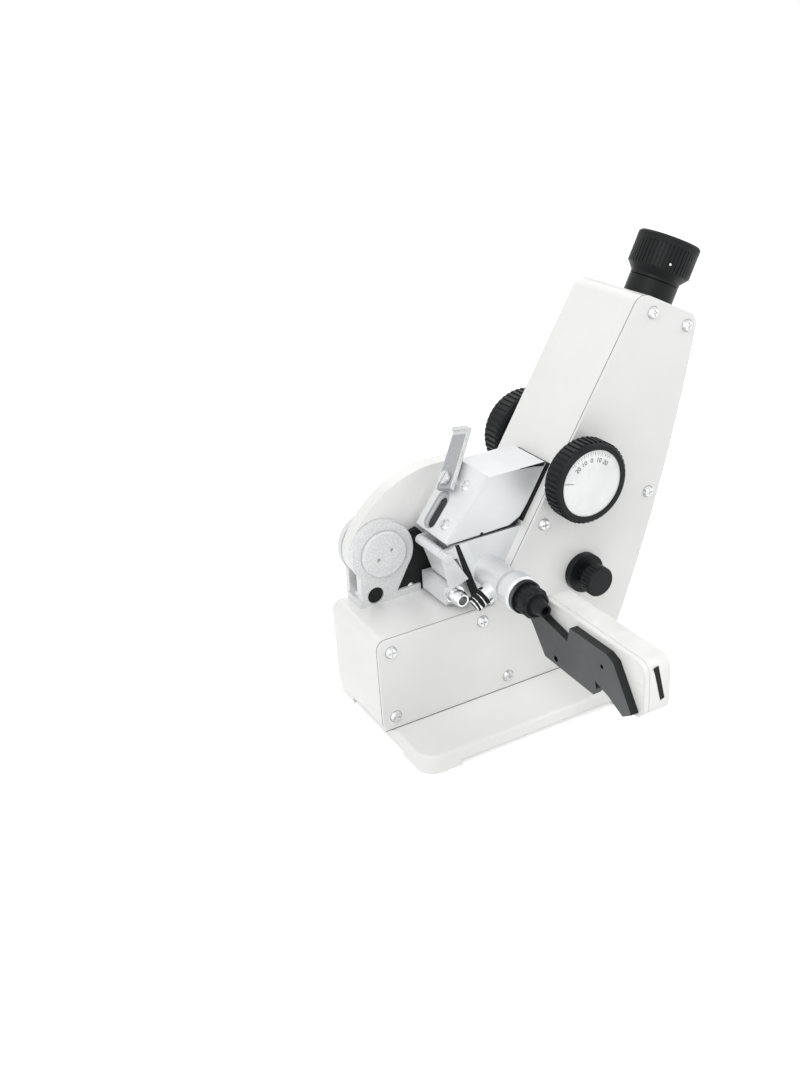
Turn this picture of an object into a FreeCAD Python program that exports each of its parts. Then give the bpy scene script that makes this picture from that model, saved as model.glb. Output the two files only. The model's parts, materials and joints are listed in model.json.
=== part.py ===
import FreeCAD, Part
import math
import os
import re
import Sketcher
from FreeCAD import Placement, Rotation, Vector

# Bench refractometer read through an eyepiece, with a clip-on digital thermometer.
# Frame: the origin is the centre of the foot's underside, +Z up, +X towards the eyepiece's side,
# and -Y is the near side, where the housing's cover is. Millimetres and degrees.
# "near" distances are measured from the XZ plane towards -Y, so a near of 18 is Y = -18.

SIZES = {
    # Foot
    "foot_length": 132.0,
    "foot_width": 100.0,
    "foot_thickness": 10.0,
    "foot_corner": 10.0,
    "foot_edge": 1.5,
    "pad_length": 20.0,
    "pad_width": 22.0,
    "pad_height": 3.0,
    "middle_pad_radius": 12.0,
    # Housing: a low box and a leaning column in one hollow casting, open at the near side
    "box_overhang": 5.0,
    "box_top": 61.0,
    "housing_near": 16.5,
    "housing_far": 35.0,
    "wall_thickness": 3.0,
    "column_foot": -5.0,
    "column_lean": 32.0,
    "column_top": 203.5,
    "head_length": 40.0,
    "head_slope": 27.0,
    "back_radius": 850.0,
    "box_corner": 5.0,
    "head_corner": 7.0,
    "casting_edge": 3.0,
    "cover_thickness": 1.5,
    "cover_edge": 0.5,
    "cover_screw_inset": 7.0,
    "boss_radius": 5.0,
    "boss_depth": 14.0,
    # Screws
    "screw_radius": 1.5,
    "screw_length": 9.0,
    "screw_head_radius": 3.1,
    "screw_head_height": 1.6,
    "cross_width": 0.8,
    "cross_depth": 0.8,
    "fit_clearance": 0.05,
    "running_clearance": 0.3,
    # Eyepiece
    "eyepiece_setback": 26.0,
    "eyepiece_off": 6.5,
    "neck_radius": 12.8,
    "neck_height": 11.0,
    "neck_depth": 12.0,
    "neck_wall": 2.0,
    "eyecup_radius": 16.2,
    "eyecup_height": 20.0,
    "eyecup_skirt": 4.0,
    "eyecup_wall": 2.5,
    "eyecup_groove": 0.5,
    "eye_lens_radius": 9.0,
    "lens_thickness": 3.0,
    # Telescope and compensator inside the column
    "optic_drop": 18.0,
    "tube_radius": 9.0,
    "tube_wall": 1.5,
    "ring_radius": 11.5,
    "ring_thickness": 4.0,
    "cell_length": 9.0,
    "gear_offset": 8.6,
    "gear_lower": 7.3,
    "crown_radius": 9.5,
    "bevel_radius": 3.5,
    "bevel_length": 3.0,
    "deflector_size": 14.0,
    # Dispersion knob, near side
    "dispersion_inset": 9.5,
    "dispersion_rise": 60.0,
    "knob_gap": 6.0,
    "dispersion_radius": 21.0,
    "dispersion_depth": 12.0,
    "dial_radius": 17.0,
    "dial_thickness": 1.0,
    "dial_recess": 0.7,
    "knob_rib_count": 48.0,
    "knob_rib_width": 1.4,
    "knob_rib_depth": 0.7,
    "shaft_radius": 3.0,
    "bush_radius": 4.6,
    "bush_flange": 8.0,
    "bush_flange_thickness": 2.0,
    "gear_radius": 4.8,
    "gear_thickness": 4.0,
    "gear_near": 9.0,
    # Index knob, far side, and the scale sector that it turns
    "index_inset": 27.8,
    "index_rise": 58.0,
    "index_radius": 23.0,
    "index_depth": 14.0,
    "index_gap": 5.0,
    "pinion_radius": 2.5,
    "sector_inset": 28.0,
    "sector_rise": 27.0,
    "sector_thickness": 3.0,
    "sector_far": 25.0,
    "sector_half_angle": 16.0,
    "sector_pin_radius": 3.0,
    "scale_width": 12.0,
    "scale_height": 8.0,
    "scale_thickness": 1.5,
    # Scale light condenser, near side
    "condenser_inset": 52.0,
    "condenser_rise": 3.0,
    "condenser_flange_radius": 10.5,
    "condenser_flange_height": 4.0,
    "condenser_stem_radius": 5.0,
    "condenser_stem_length": 5.0,
    "condenser_cap_radius": 8.0,
    "condenser_cap_height": 7.0,
    # Prism box
    "prism_near": 11.0,
    "prism_far": 18.0,
    "gap_rise": 36.0,
    "gap_width": 0.8,
    "lower_reach": 15.0,
    "lower_clearance": 4.0,
    "lower_bottom_reach": 4.0,
    "upper_reach": 21.0,
    "upper_height": 30.0,
    "upper_setback": 24.0,
    "upper_clearance": 3.0,
    "block_edge": 0.8,
    "prism_length": 22.0,
    "prism_width": 16.0,
    "prism_depth": 12.0,
    "prism_shift": 2.0,
    "side_strip_thickness": 3.0,
    "front_plate_thickness": 2.0,
    "window_width": 6.5,
    "window_length": 17.0,
    "window_off": 7.0,
    "window_drop": 27.0,
    "window_depth": 4.0,
    "window_glass_thickness": 1.0,
    "shield_width": 10.5,
    "shield_thickness": 2.5,
    "shield_length": 33.0,
    "shield_lift": 2.4,
    "shield_lip": 1.6,
    "shield_pivot_drop": 10.5,
    "shield_pivot_off": 8.0,
    "shield_swing": 22.0,
    "shield_screw_radius": 3.5,
    # Hinge of the upper prism mount
    "hub_reach": 42.0,
    "hub_drop": 9.0,
    "hub_near": -17.0,
    "hub_ring_radius": 17.0,
    "hub_ring_depth": 5.0,
    "hub_pin_radius": 6.0,
    "hub_cap_radius": 12.4,
    "hub_cap_thickness": 2.2,
    "spanner_hole_radius": 0.9,
    "spanner_hole_spread": 7.5,
    "arm_depth": 8.4,
    "arm_hub_radius": 16.5,
    "far_lug_depth": 3.5,
    "pedestal_left_reach": 15.0,
    "pedestal_right_reach": 20.0,
    "pedestal_base": 4.0,
    "pedestal_notch": 4.5,
    # Reflecting mirror left of the lower prism
    "mirror_cheek_thickness": 1.2,
    "mirror_pivot_reach": 22.5,
    "mirror_pivot_drop": 5.0,
    "mirror_pivot_radius": 1.5,
    "mirror_far": 14.0,
    "ear_thickness": 2.5,
    "ear_radius": 2.6,
    "mirror_length": 18.0,
    "mirror_thickness": 2.0,
    "mirror_lean": 18.0,
    # Hose nipples
    "nipple_radius": 4.0,
    "nipple_bore": 2.4,
    "nipple_length": 9.0,
    "nipple_barb": 0.8,
    "nipple_reach": 17.0,
    "nipple_rise": 3.5,
    "nipple_turn": 207.0,
    # Thermometer
    "socket_gap": 0.4,
    "socket_rise": 13.0,
    "socket_radius": 8.0,
    "socket_length": 33.0,
    "collar_radius": 9.5,
    "collar_length": 8.0,
    "nut_radius": 7.0,
    "nut_length": 9.0,
    "probe_radius": 2.0,
    "probe_length": 52.0,
    "bracket_offset": 3.0,
    "bracket_thickness": 4.2,
    "bracket_length": 78.0,
    "bracket_drop": 29.0,
    "bracket_tab": 2.5,
    "boot_radius": 4.5,
    "boot_length": 7.0,
    "case_length": 78.0,
    "case_drop": 28.0,
    "case_height": 28.0,
    "case_depth": 15.0,
    "case_corner": 6.0,
    "case_back_thickness": 3.0,
    "display_length": 34.0,
    "display_height": 15.0,
    "display_thickness": 1.5,
    "display_margin": 7.0,
    "key_radius": 2.5,
    "key_height": 2.5,
    "key_travel": 0.8,
    "key_spacing": 12.0,
    "key_margin": 10.0,
}

doc = FreeCAD.newDocument("refractometer")
sheet = doc.addObject("Spreadsheet::Sheet", "Sizes")
for row, (alias, number) in enumerate(SIZES.items(), start=1):
    sheet.set("A%d" % row, alias)
    sheet.set("B%d" % row, repr(number))
    sheet.setAlias("B%d" % row, alias)
doc.recompute()

ALIAS = re.compile(r"[a-z]+(?:_[a-z0-9]+)+")
NODES = []

# Derived places, as expressions of the sizes, used by name like the sizes themselves
PLACES = {
    "gap_height": "box_top + gap_rise",
    "lower_bottom": "box_top + lower_clearance",
    "lower_left": "column_foot - lower_reach",
    "lower_bottom_left": "column_foot - lower_bottom_reach",
    "upper_left": "column_foot - upper_reach",
    "upper_top": "gap_height + upper_height",
    "upper_top_left": "upper_left + upper_setback",
    "prism_x": "column_foot + prism_shift",
    "dispersion_z": "box_top + dispersion_rise",
    "dispersion_x": "column_foot + dispersion_rise * tan(column_lean) + dispersion_inset",
    "index_z": "box_top + index_rise",
    "index_x": "column_foot + index_rise * tan(column_lean) + index_inset",
    "sector_z": "box_top + sector_rise",
    "sector_x": "column_foot + sector_rise * tan(column_lean) + sector_inset",
    "condenser_z": "box_top + condenser_rise",
    "condenser_x": "column_foot + condenser_rise * tan(column_lean) + condenser_inset",
    "hub_x": "column_foot - hub_reach",
    "hub_z": "gap_height - hub_drop",
    "pedestal_left": "hub_x - pedestal_left_reach",
    "pedestal_right": "hub_x + pedestal_right_reach",
    "mirror_pivot_x": "column_foot - mirror_pivot_reach",
    "mirror_pivot_z": "gap_height - mirror_pivot_drop",
    "nipple_x": "column_foot - nipple_reach",
    "nipple_z": "lower_bottom + nipple_rise",
    "socket_z": "lower_bottom + socket_rise",
    "socket_x": ("column_foot + (socket_z - box_top) * tan(column_lean)"
                 " - (socket_radius + socket_gap) / cos(column_lean)"),
    "bracket_x": "socket_x + bracket_offset",
    "bracket_low": "socket_z - bracket_drop",
    "socket_end": "prism_near + socket_length",
    "case_start": "socket_end + bracket_tab + 0.5",
    "case_bottom": "socket_z - case_drop",
}
BODY_LEFT = "(-foot_length / 2 - box_overhang)"
BACK_FOOT = "(foot_length / 2)"
HEAD_X = "(column_foot + (column_top - box_top) * tan(column_lean))"
HEAD_RIGHT_X = f"({HEAD_X} + head_length * cos(head_slope))"
HEAD_RIGHT_Z = "(column_top - head_length * sin(head_slope))"
BACK_RISE = f"({HEAD_RIGHT_Z} - foot_thickness)"
BACK_BULGE = f"(back_radius - sqrt(pow(back_radius; 2) - (pow({HEAD_RIGHT_X} - {BACK_FOOT}; 2) + pow({BACK_RISE}; 2)) / 4))"
BACK_MIDDLE = f"(({BACK_FOOT} + {HEAD_RIGHT_X}) / 2 + {BACK_BULGE})"
COVER_NEAR = "(housing_near + cover_thickness)"
EYE_X = f"({HEAD_X} + eyepiece_setback * cos(head_slope))"
EYE_Z = "(column_top - eyepiece_setback * sin(head_slope))"
OPTIC_TOP_X = f"({EYE_X} - optic_drop * sin(head_slope))"
OPTIC_TOP_Z = f"({EYE_Z} - optic_drop * cos(head_slope))"
GEAR_X = "(dispersion_x + gear_offset)"
GEAR_Z = "(dispersion_z - gear_lower)"
OPTIC_LEAN = f"atan2({OPTIC_TOP_X} - {GEAR_X}; {OPTIC_TOP_Z} - {GEAR_Z})"
OPTIC_LENGTH = f"sqrt(pow({OPTIC_TOP_X} - {GEAR_X}; 2) + pow({OPTIC_TOP_Z} - {GEAR_Z}; 2))"
IDLER_RADIUS = "(sqrt(pow(gear_offset; 2) + pow(gear_lower; 2)) - gear_radius - fit_clearance)"
SECTOR_RADIUS = ("(sqrt(pow(index_x - sector_x; 2) + pow(index_z - sector_z; 2))"
                 " - pinion_radius - fit_clearance)")
SECTOR_TURN = "atan2(index_z - sector_z; index_x - sector_x)"
LOWER_TOP = "(gap_height - gap_width / 2)"
UPPER_BOTTOM = "(gap_height + gap_width / 2)"


def bound(text):
    """The expression with every size read from the sheet, and every place written out."""
    def written(found):
        name = found.group(0)
        return f"({bound(PLACES[name])})" if name in PLACES else "Sizes." + name
    return ALIAS.sub(written, str(text))


def value(text):
    """The number that an expression of the sizes gives."""
    return float(sheet.evalExpression(bound(text)))


def bind(thing, name, text):
    """Ties a property to the sheet, or sets a plain number."""
    if ALIAS.search(str(text)):
        thing.setExpression(name, bound(text))
    else:
        thing.setExpression(name, str(text))


def front_at(height, gap="0"):
    """X of the column's leaning front at a height, with a gap square to it left in front."""
    return f"(column_foot + (({height}) - box_top) * tan(column_lean) - ({gap}) / cos(column_lean))"


def node(thing, label):
    """Gives a finished piece its name and lists it for export."""
    thing.Label = label
    NODES.append(thing)
    return thing


def place(thing, base=("0", "0", "0"), axis=(0, 0, 1), angle=None):
    """Puts a piece at a bound place, turned by a bound angle about a fixed axis."""
    start = value(angle) if angle is not None else 0.0
    thing.Placement = Placement(Vector(), Rotation(Vector(*axis), start))
    for name, text in zip("xyz", base):
        bind(thing, "Placement.Base." + name, text)
    if angle is not None and ALIAS.search(str(angle)):
        bind(thing, "Placement.Rotation.Angle", angle)


def new_body(name):
    return doc.addObject("PartDesign::Body", name)


def new_sketch(body, role, offset="0"):
    """A sketch on one of the body's own origin planes, moved along the plane's normal."""
    drawing = body.newObject("Sketcher::SketchObject", body.Name + "_sketch")
    plane = [item for item in body.Origin.OriginFeatures if item.Role == role][0]
    drawing.AttachmentSupport = [(plane, "")]
    drawing.MapMode = "FlatFace"
    bind(drawing, "AttachmentOffset.Base.z", offset)
    return drawing


def hold(drawing, kind, places, text):
    """Adds a dimension and binds it."""
    number = drawing.addConstraint(Sketcher.Constraint(kind, *places, value(text)))
    if ALIAS.search(str(text)):
        drawing.setExpression("Constraints[%d]" % number, bound(text))


def hold_point(drawing, edge, end, across, along):
    hold(drawing, "DistanceX", (-1, 1, edge, end), across)
    hold(drawing, "DistanceY", (-1, 1, edge, end), along)


def arc_through(start, finish, radius):
    """The arc from start to finish, bulging to the right of the way, and its centre."""
    way = finish.sub(start)
    middle = start.add(finish).multiply(0.5)
    left = Vector(-way.y, way.x, 0).normalize()
    reach = math.sqrt(radius * radius - way.Length * way.Length / 4)
    centre = middle.add(left.multiply(reach))
    first = math.atan2(start.y - centre.y, start.x - centre.x)
    last = math.atan2(finish.y - centre.y, finish.x - centre.x)
    return Part.ArcOfCircle(Part.Circle(centre, Vector(0, 0, 1), radius), first, last)


def draw_outline(drawing, points):
    """A closed outline, anticlockwise. A third entry makes the edge after the point an arc."""
    spots = [Vector(value(point[0]), value(point[1]), 0) for point in points]
    base = drawing.GeometryCount
    count = len(points)
    for index, point in enumerate(points):
        start, finish = spots[index], spots[(index + 1) % count]
        if len(point) > 2:
            drawing.addGeometry(arc_through(start, finish, value(point[2])), False)
        else:
            drawing.addGeometry(Part.LineSegment(start, finish), False)
    for index in range(count):
        drawing.addConstraint(
            Sketcher.Constraint("Coincident", base + index, 2, base + (index + 1) % count, 1))
    for index, point in enumerate(points):
        hold_point(drawing, base + index, 1, point[0], point[1])
        if len(point) > 2:
            hold(drawing, "Radius", (base + index,), point[2])


def draw_circle(drawing, across, along, radius):
    edge = drawing.addGeometry(
        Part.Circle(Vector(value(across), value(along), 0), Vector(0, 0, 1), value(radius)), False)
    hold(drawing, "Radius", (edge,), radius)
    hold_point(drawing, edge, 3, across, along)


def pad(body, drawing, length, backwards=False):
    feature = body.newObject("PartDesign::Pad", body.Name + "_pad")
    feature.Profile = drawing
    bind(feature, "Length", length)
    feature.Reversed = backwards
    doc.recompute()
    return feature


def pocket(body, drawing, length, backwards=False):
    """Cuts into the body, and stops the build if nothing was cut."""
    before = body.Shape.Volume
    feature = body.newObject("PartDesign::Pocket", body.Name + "_pocket")
    feature.Profile = drawing
    bind(feature, "Length", length)
    feature.Reversed = backwards
    doc.recompute()
    if body.Shape.Volume > before - 1e-3:
        raise RuntimeError(body.Name + " has a pocket that cuts nothing")
    return feature


def edges_of(body, wanted):
    return ["Edge%d" % (index + 1) for index, edge in enumerate(body.Shape.Edges) if wanted(edge)]


def round_edges(body, radius, wanted):
    """Rounds the edges that the test picks."""
    names = edges_of(body, wanted)
    if not names:
        raise RuntimeError(body.Name + " has no edge to round")
    base = body.Tip
    feature = body.newObject("PartDesign::Fillet", body.Name + "_fillet")
    feature.Base = (base, names)
    bind(feature, "Radius", radius)
    doc.recompute()


def runs_along(edge, direction):
    if not isinstance(edge.Curve, Part.Line):
        return False
    return abs(abs(edge.Curve.Direction.dot(direction)) - 1) < 1e-6


def through(*spots):
    """A test for edges along Y that pass through any of the X, Z places."""
    places = [(value(x), value(z)) for x, z in spots]

    def wanted(edge):
        if not runs_along(edge, Vector(0, 1, 0)):
            return False
        middle = edge.BoundBox.Center
        return any(math.hypot(middle.x - x, middle.z - z) < 0.01 for x, z in places)
    return wanted


def in_plane(name, text):
    """A test for edges that lie in the plane where one coordinate has the value."""
    number = value(text)
    low, high = name + "Min", name + "Max"

    def wanted(edge):
        box = edge.BoundBox
        return abs(getattr(box, low) - number) < 1e-4 and abs(getattr(box, high) - number) < 1e-4
    return wanted


def slab(name, points, near, depth):
    """A body with an outline in X and Z, from Y = -near back by its depth."""
    body = new_body(name)
    drawing = new_sketch(body, "XZ_Plane", near)
    draw_outline(drawing, points)
    pad(body, drawing, depth, backwards=True)
    return body


def cut_circles(body, spots, radius, near, depth):
    drawing = new_sketch(body, "XZ_Plane", near)
    for across, along in spots:
        draw_circle(drawing, across, along, radius)
    pocket(body, drawing, depth)


def add_circles(body, spots, radius, near, depth):
    drawing = new_sketch(body, "XZ_Plane", near)
    for across, along in spots:
        draw_circle(drawing, across, along, radius)
    pad(body, drawing, depth, backwards=True)


def turned(name, profile):
    """A body turned about its own Z axis from a profile of radius and height."""
    body = new_body(name)
    drawing = new_sketch(body, "XZ_Plane")
    draw_outline(drawing, profile)
    feature = body.newObject("PartDesign::Revolution", name + "_turn")
    feature.Profile = drawing
    feature.ReferenceAxis = (drawing, ["V_Axis"])
    feature.Angle = 360
    doc.recompute()
    return body


def ring_profile(bore, radius, low, high):
    return [(bore, low), (radius, low), (radius, high), (bore, high)]


def disc_profile(radius, low, high):
    return ring_profile("0", radius, low, high)


def face_near(thing, across, near, height):
    """Places a turned body with its own Z towards the near side."""
    place(thing, (across, f"-({near})", height), (1, 0, 0), 90)


def face_far(thing, across, far, height):
    """Places a turned body with its own Z towards the far side."""
    place(thing, (across, far, height), (1, 0, 0), -90)


def cut_ribs(body, radius, height, count, width, depth):
    """Grooves round a knob's rim: one slot along its axis, repeated round it."""
    drawing = new_sketch(body, "XY_Plane", height)
    draw_outline(drawing, [(f"{radius} - {depth}", f"-{width} / 2"), (f"{radius} + {depth}", f"-{width} / 2"),
                           (f"{radius} + {depth}", f"{width} / 2"), (f"{radius} - {depth}", f"{width} / 2")])
    groove = pocket(body, drawing, height)
    pattern = body.newObject("PartDesign::PolarPattern", body.Name + "_ribs")
    pattern.Originals = [groove]
    axis = [item for item in body.Origin.OriginFeatures if item.Role == "Z_Axis"][0]
    pattern.Axis = (axis, [""])
    pattern.Angle = 360
    bind(pattern, "Occurrences", count)
    body.Tip = pattern
    doc.recompute()


def cross_head_screw():
    """One pan-head screw with a cross recess, its head's seat at the origin and its head along +Z."""
    radius, head = value("screw_radius"), value("screw_head_radius")
    length, height = value("screw_length"), value("screw_head_height")
    wide, deep = value("cross_width"), value("cross_depth")
    shank = Part.makeCylinder(radius, length, Vector(0, 0, -length))
    dome = Part.makeCone(head, head * 0.75, height)
    shape = shank.fuse(dome)
    for size in ((head * 1.2, wide), (wide, head * 1.2)):
        corner = Vector(-size[0] / 2, -size[1] / 2, height - deep)
        shape = shape.cut(Part.makeBox(size[0], size[1], deep + 1, corner))
    return shape


def screw_group(name, spots, turn):
    """Several like screws in one node, each at a place, with their heads the way of the turn."""
    screws = []
    for spot in spots:
        screw = cross_head_screw()
        screw.Placement = Placement(Vector(*spot), turn)
        screws.append(screw)
    group = doc.addObject("Part::Feature", name)
    group.Shape = Part.makeCompound(screws)
    return node(group, name)


NEAR_TURN = Rotation(Vector(1, 0, 0), 90)
ACROSS_Y = Vector(0, 1, 0)


# Foot: a plate on four corner pads and a round middle one, rounded at its corners
def make_foot():
    half_x, half_y = "foot_length / 2", "foot_width / 2"
    body = new_body("foot_casting")
    drawing = new_sketch(body, "XY_Plane")
    draw_outline(drawing, [(f"-{half_x}", f"-{half_y}"), (half_x, f"-{half_y}"),
                           (half_x, half_y), (f"-{half_x}", half_y)])
    pad(body, drawing, "foot_thickness")
    round_edges(body, "foot_corner", lambda edge: runs_along(edge, Vector(0, 0, 1)))
    inner_x, inner_y = f"({half_x} - pad_length)", f"({half_y} - pad_width)"
    drawing = new_sketch(body, "XY_Plane")
    beyond_x, beyond_y = f"({half_x} + foot_edge)", f"({half_y} + foot_edge)"
    draw_outline(drawing, [
        (f"-{inner_x}", f"-{beyond_y}"), (inner_x, f"-{beyond_y}"), (inner_x, f"-{inner_y}"),
        (beyond_x, f"-{inner_y}"), (beyond_x, inner_y), (inner_x, inner_y),
        (inner_x, beyond_y), (f"-{inner_x}", beyond_y), (f"-{inner_x}", inner_y),
        (f"-{beyond_x}", inner_y), (f"-{beyond_x}", f"-{inner_y}"), (f"-{inner_x}", f"-{inner_y}")])
    pocket(body, drawing, "pad_height", backwards=True)
    middle = new_sketch(body, "XY_Plane")
    draw_circle(middle, "0", "0", "middle_pad_radius")
    pad(body, middle, "(pad_height + foot_thickness) / 2")
    round_edges(body, "foot_edge", in_plane("Z", "foot_thickness"))
    node(body, "foot_casting")


# Housing
HOUSING_OUTLINE = [
    (BODY_LEFT, "foot_thickness"), (BACK_FOOT, "foot_thickness", "back_radius"),
    (HEAD_RIGHT_X, HEAD_RIGHT_Z), (HEAD_X, "column_top"), ("column_foot", "box_top"),
    (BODY_LEFT, "box_top")]
BOX_CORNERS = through((BODY_LEFT, "foot_thickness"), (BODY_LEFT, "box_top"))
HEAD_CORNERS = through((HEAD_RIGHT_X, HEAD_RIGHT_Z), (HEAD_X, "column_top"))
COVER_SCREWS = [
    (f"{BODY_LEFT} + cover_screw_inset", "box_top - cover_screw_inset"),
    (f"{BODY_LEFT} + cover_screw_inset", "foot_thickness + cover_screw_inset"),
    ("column_foot - cover_screw_inset", "box_top - cover_screw_inset"),
    ("column_foot + cover_screw_inset", "foot_thickness + cover_screw_inset"),
    (front_at("gap_height", "-cover_screw_inset"), "gap_height"),
    (f"{BACK_MIDDLE} - cover_screw_inset", f"(foot_thickness + {HEAD_RIGHT_Z}) / 2"),
    (f"{HEAD_X} + cover_screw_inset", "column_top - cover_screw_inset * 1.6"),
    (f"{HEAD_RIGHT_X} - cover_screw_inset", f"{HEAD_RIGHT_Z} - cover_screw_inset / 2")]


PEDESTAL_SCREWS = [("pedestal_left + 5", "housing_far - casting_edge - 6"),
                   ("pedestal_right - 5", "housing_far - casting_edge - 6"),
                   ("pedestal_right - 5", "-hub_near + 4")]


def make_housing():
    body = slab("housing", HOUSING_OUTLINE, "housing_near", "housing_near + housing_far")
    near_face = [index for index, face in enumerate(body.Shape.Faces)
                 if abs(face.BoundBox.YMax + value("housing_near")) < 1e-4][0]
    base = body.Tip
    shell = body.newObject("PartDesign::Thickness", "housing_shell")
    shell.Base = (base, ["Face%d" % (near_face + 1)])
    shell.Mode = 0
    shell.Join = 1
    shell.Reversed = True
    bind(shell, "Value", "wall_thickness")
    doc.recompute()
    round_edges(body, "box_corner", BOX_CORNERS)
    round_edges(body, "head_corner", HEAD_CORNERS)
    round_edges(body, "casting_edge", in_plane("Y", "housing_far"))
    add_circles(body, COVER_SCREWS, "boss_radius", "housing_near", "boss_depth")
    cut_circles(body, COVER_SCREWS, "screw_radius + fit_clearance", "housing_near", "boss_depth - 2")
    add_circles(body, [("sector_x", "sector_z")], "sector_pin_radius + 3",
                "-(sector_far + sector_thickness + running_clearance)",
                "housing_far - wall_thickness - sector_far - sector_thickness - running_clearance")
    cut_circles(body, [("sector_x", "sector_z")], "sector_pin_radius + fit_clearance",
                "-sector_far", "housing_far - sector_far - 1")
    cut_circles(body, [("index_x", "index_z")], "bush_radius + fit_clearance",
                "-sector_far", "housing_far")
    bore = tilted_sketch(body, (EYE_X, "eyepiece_off", EYE_Z), "head_slope")
    draw_circle(bore, "0", "0", "neck_radius + fit_clearance")
    pocket(body, bore, "neck_depth")
    screws = new_sketch(body, "XY_Plane", "box_top")
    for across, along in PEDESTAL_SCREWS:
        draw_circle(screws, across, along, "screw_radius + fit_clearance")
    pocket(body, screws, "screw_length")
    window = new_sketch(body, "YZ_Plane", "column_foot")
    draw_outline(window, [("eyepiece_off - tube_radius", "lower_bottom + 12"),
                          ("eyepiece_off + tube_radius", "lower_bottom + 12"),
                          ("eyepiece_off + tube_radius", "gap_height - 2"),
                          ("eyepiece_off - tube_radius", "gap_height - 2")])
    pocket(body, window, f"{front_at('gap_height')} - column_foot + wall_thickness * 2", backwards=True)
    node(body, "housing")


def tilted_sketch(body, base, angle):
    """A sketch off the origin planes, turned about Y: its first axis leans and its second is Y."""
    drawing = body.newObject("Sketcher::SketchObject", body.Name + "_tilted")
    place(drawing, base, (0, 1, 0), angle)
    return drawing


def make_cover():
    body = slab("side_cover", HOUSING_OUTLINE, COVER_NEAR, "cover_thickness")
    round_edges(body, "box_corner", BOX_CORNERS)
    round_edges(body, "head_corner", HEAD_CORNERS)
    round_edges(body, "cover_edge", in_plane("Y", f"-{COVER_NEAR}"))
    cut_circles(body, COVER_SCREWS, "screw_radius + fit_clearance", COVER_NEAR, "cover_thickness")
    cut_circles(body, [("dispersion_x", "dispersion_z")], "bush_radius + fit_clearance",
                COVER_NEAR, "cover_thickness")
    cut_circles(body, [("condenser_x", "condenser_z")], "condenser_stem_radius + fit_clearance",
                COVER_NEAR, "cover_thickness")
    node(body, "side_cover")
    spots = [(value(x), -value(COVER_NEAR), value(z)) for x, z in COVER_SCREWS]
    screw_group("cover_screws", spots, NEAR_TURN)


# Eyepiece: a neck in the head, a turning ring with a flared cup, and its lens
def on_eyepiece(thing):
    place(thing, (EYE_X, "eyepiece_off", EYE_Z), (0, 1, 0), "head_slope")


def make_eyepiece():
    neck = turned("eyepiece_neck", ring_profile("neck_radius - neck_wall", "neck_radius",
                                                "-neck_depth", "neck_height - 2"))
    on_eyepiece(neck)
    node(neck, "eyepiece_neck")
    top = "(neck_height + eyecup_height)"
    bore = "(neck_radius - neck_wall - fit_clearance)"
    cup = turned("eyepiece_ring", [
        ("eye_lens_radius - 1", "neck_height - 8"), (bore, "neck_height - 8"), (bore, "neck_height - 1.5"),
        ("neck_radius", "neck_height - 1.5"), ("neck_radius", "neck_height"),
        ("eyecup_radius", "neck_height + eyecup_skirt"), ("eyecup_radius", f"{top} - 4"),
        ("eyecup_radius - eyecup_wall", f"{top} - 4"),
        ("eyecup_radius - eyecup_wall", f"{top} - 9"), ("eye_lens_radius - 1", f"{top} - 9")])
    cut_ribs(cup, "eyecup_radius", f"{top} - 4", "knob_rib_count", "eyecup_groove", "eyecup_groove")
    on_eyepiece(cup)
    node(cup, "eyepiece_ring")
    lip = turned("rubber_eyecup", [
        ("eye_lens_radius + 1", f"{top} - 7"), ("eyecup_radius - eyecup_wall - fit_clearance", f"{top} - 7"),
        ("eyecup_radius - eyecup_wall - fit_clearance", f"{top} - 4"), ("eyecup_radius", f"{top} - 4"),
        ("eyecup_radius", f"{top} - 1"), ("eyecup_radius - 1", top), ("eyecup_radius - 3", top)])
    on_eyepiece(lip)
    node(lip, "rubber_eyecup")
    lens = turned("eye_lens", disc_profile("eye_lens_radius", f"{top} - 9",
                                           f"{top} - 9 + lens_thickness"))
    on_eyepiece(lens)
    node(lens, "eye_lens")


# Telescope and compensator, square to the gear's axis, in the column
def on_optic(thing):
    place(thing, (GEAR_X, "eyepiece_off", GEAR_Z), (0, 1, 0), OPTIC_LEAN)


def make_telescope():
    low = "(bevel_radius + 2 * running_clearance + ring_thickness + cell_length)"
    high = f"({OPTIC_LENGTH} - deflector_size / 2)"
    tube = turned("telescope_tube", ring_profile("tube_radius - tube_wall", "tube_radius",
                                                 f"{low} + running_clearance", high))
    on_optic(tube)
    node(tube, "telescope_tube")
    lens = turned("objective_lens", disc_profile("tube_radius - tube_wall - fit_clearance",
                                                 f"{low} + 3", f"{low} + 3 + lens_thickness"))
    on_optic(lens)
    node(lens, "objective_lens")
    reticle = turned("reticle", disc_profile("tube_radius - tube_wall - fit_clearance",
                                             f"{high} - 4", f"{high} - 3"))
    on_optic(reticle)
    node(reticle, "reticle")


def make_saddle():
    """A block on the far wall that the telescope tube passes through."""
    size = "(tube_radius + 3)"
    start = f"({OPTIC_LENGTH} * 0.55)"
    body = new_body("tube_saddle")
    drawing = new_sketch(body, "XY_Plane", start)
    far = "(housing_far - wall_thickness - eyepiece_off)"
    draw_outline(drawing, [(f"-{size}", f"-{size}"), (size, f"-{size}"), (size, far), (f"-{size}", far)])
    pad(body, drawing, "cell_length")
    bore = new_sketch(body, "XY_Plane", f"{start} + cell_length")
    draw_circle(bore, "0", "0", "tube_radius + fit_clearance")
    pocket(body, bore, "cell_length")
    on_optic(body)
    node(body, "tube_saddle")


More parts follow.
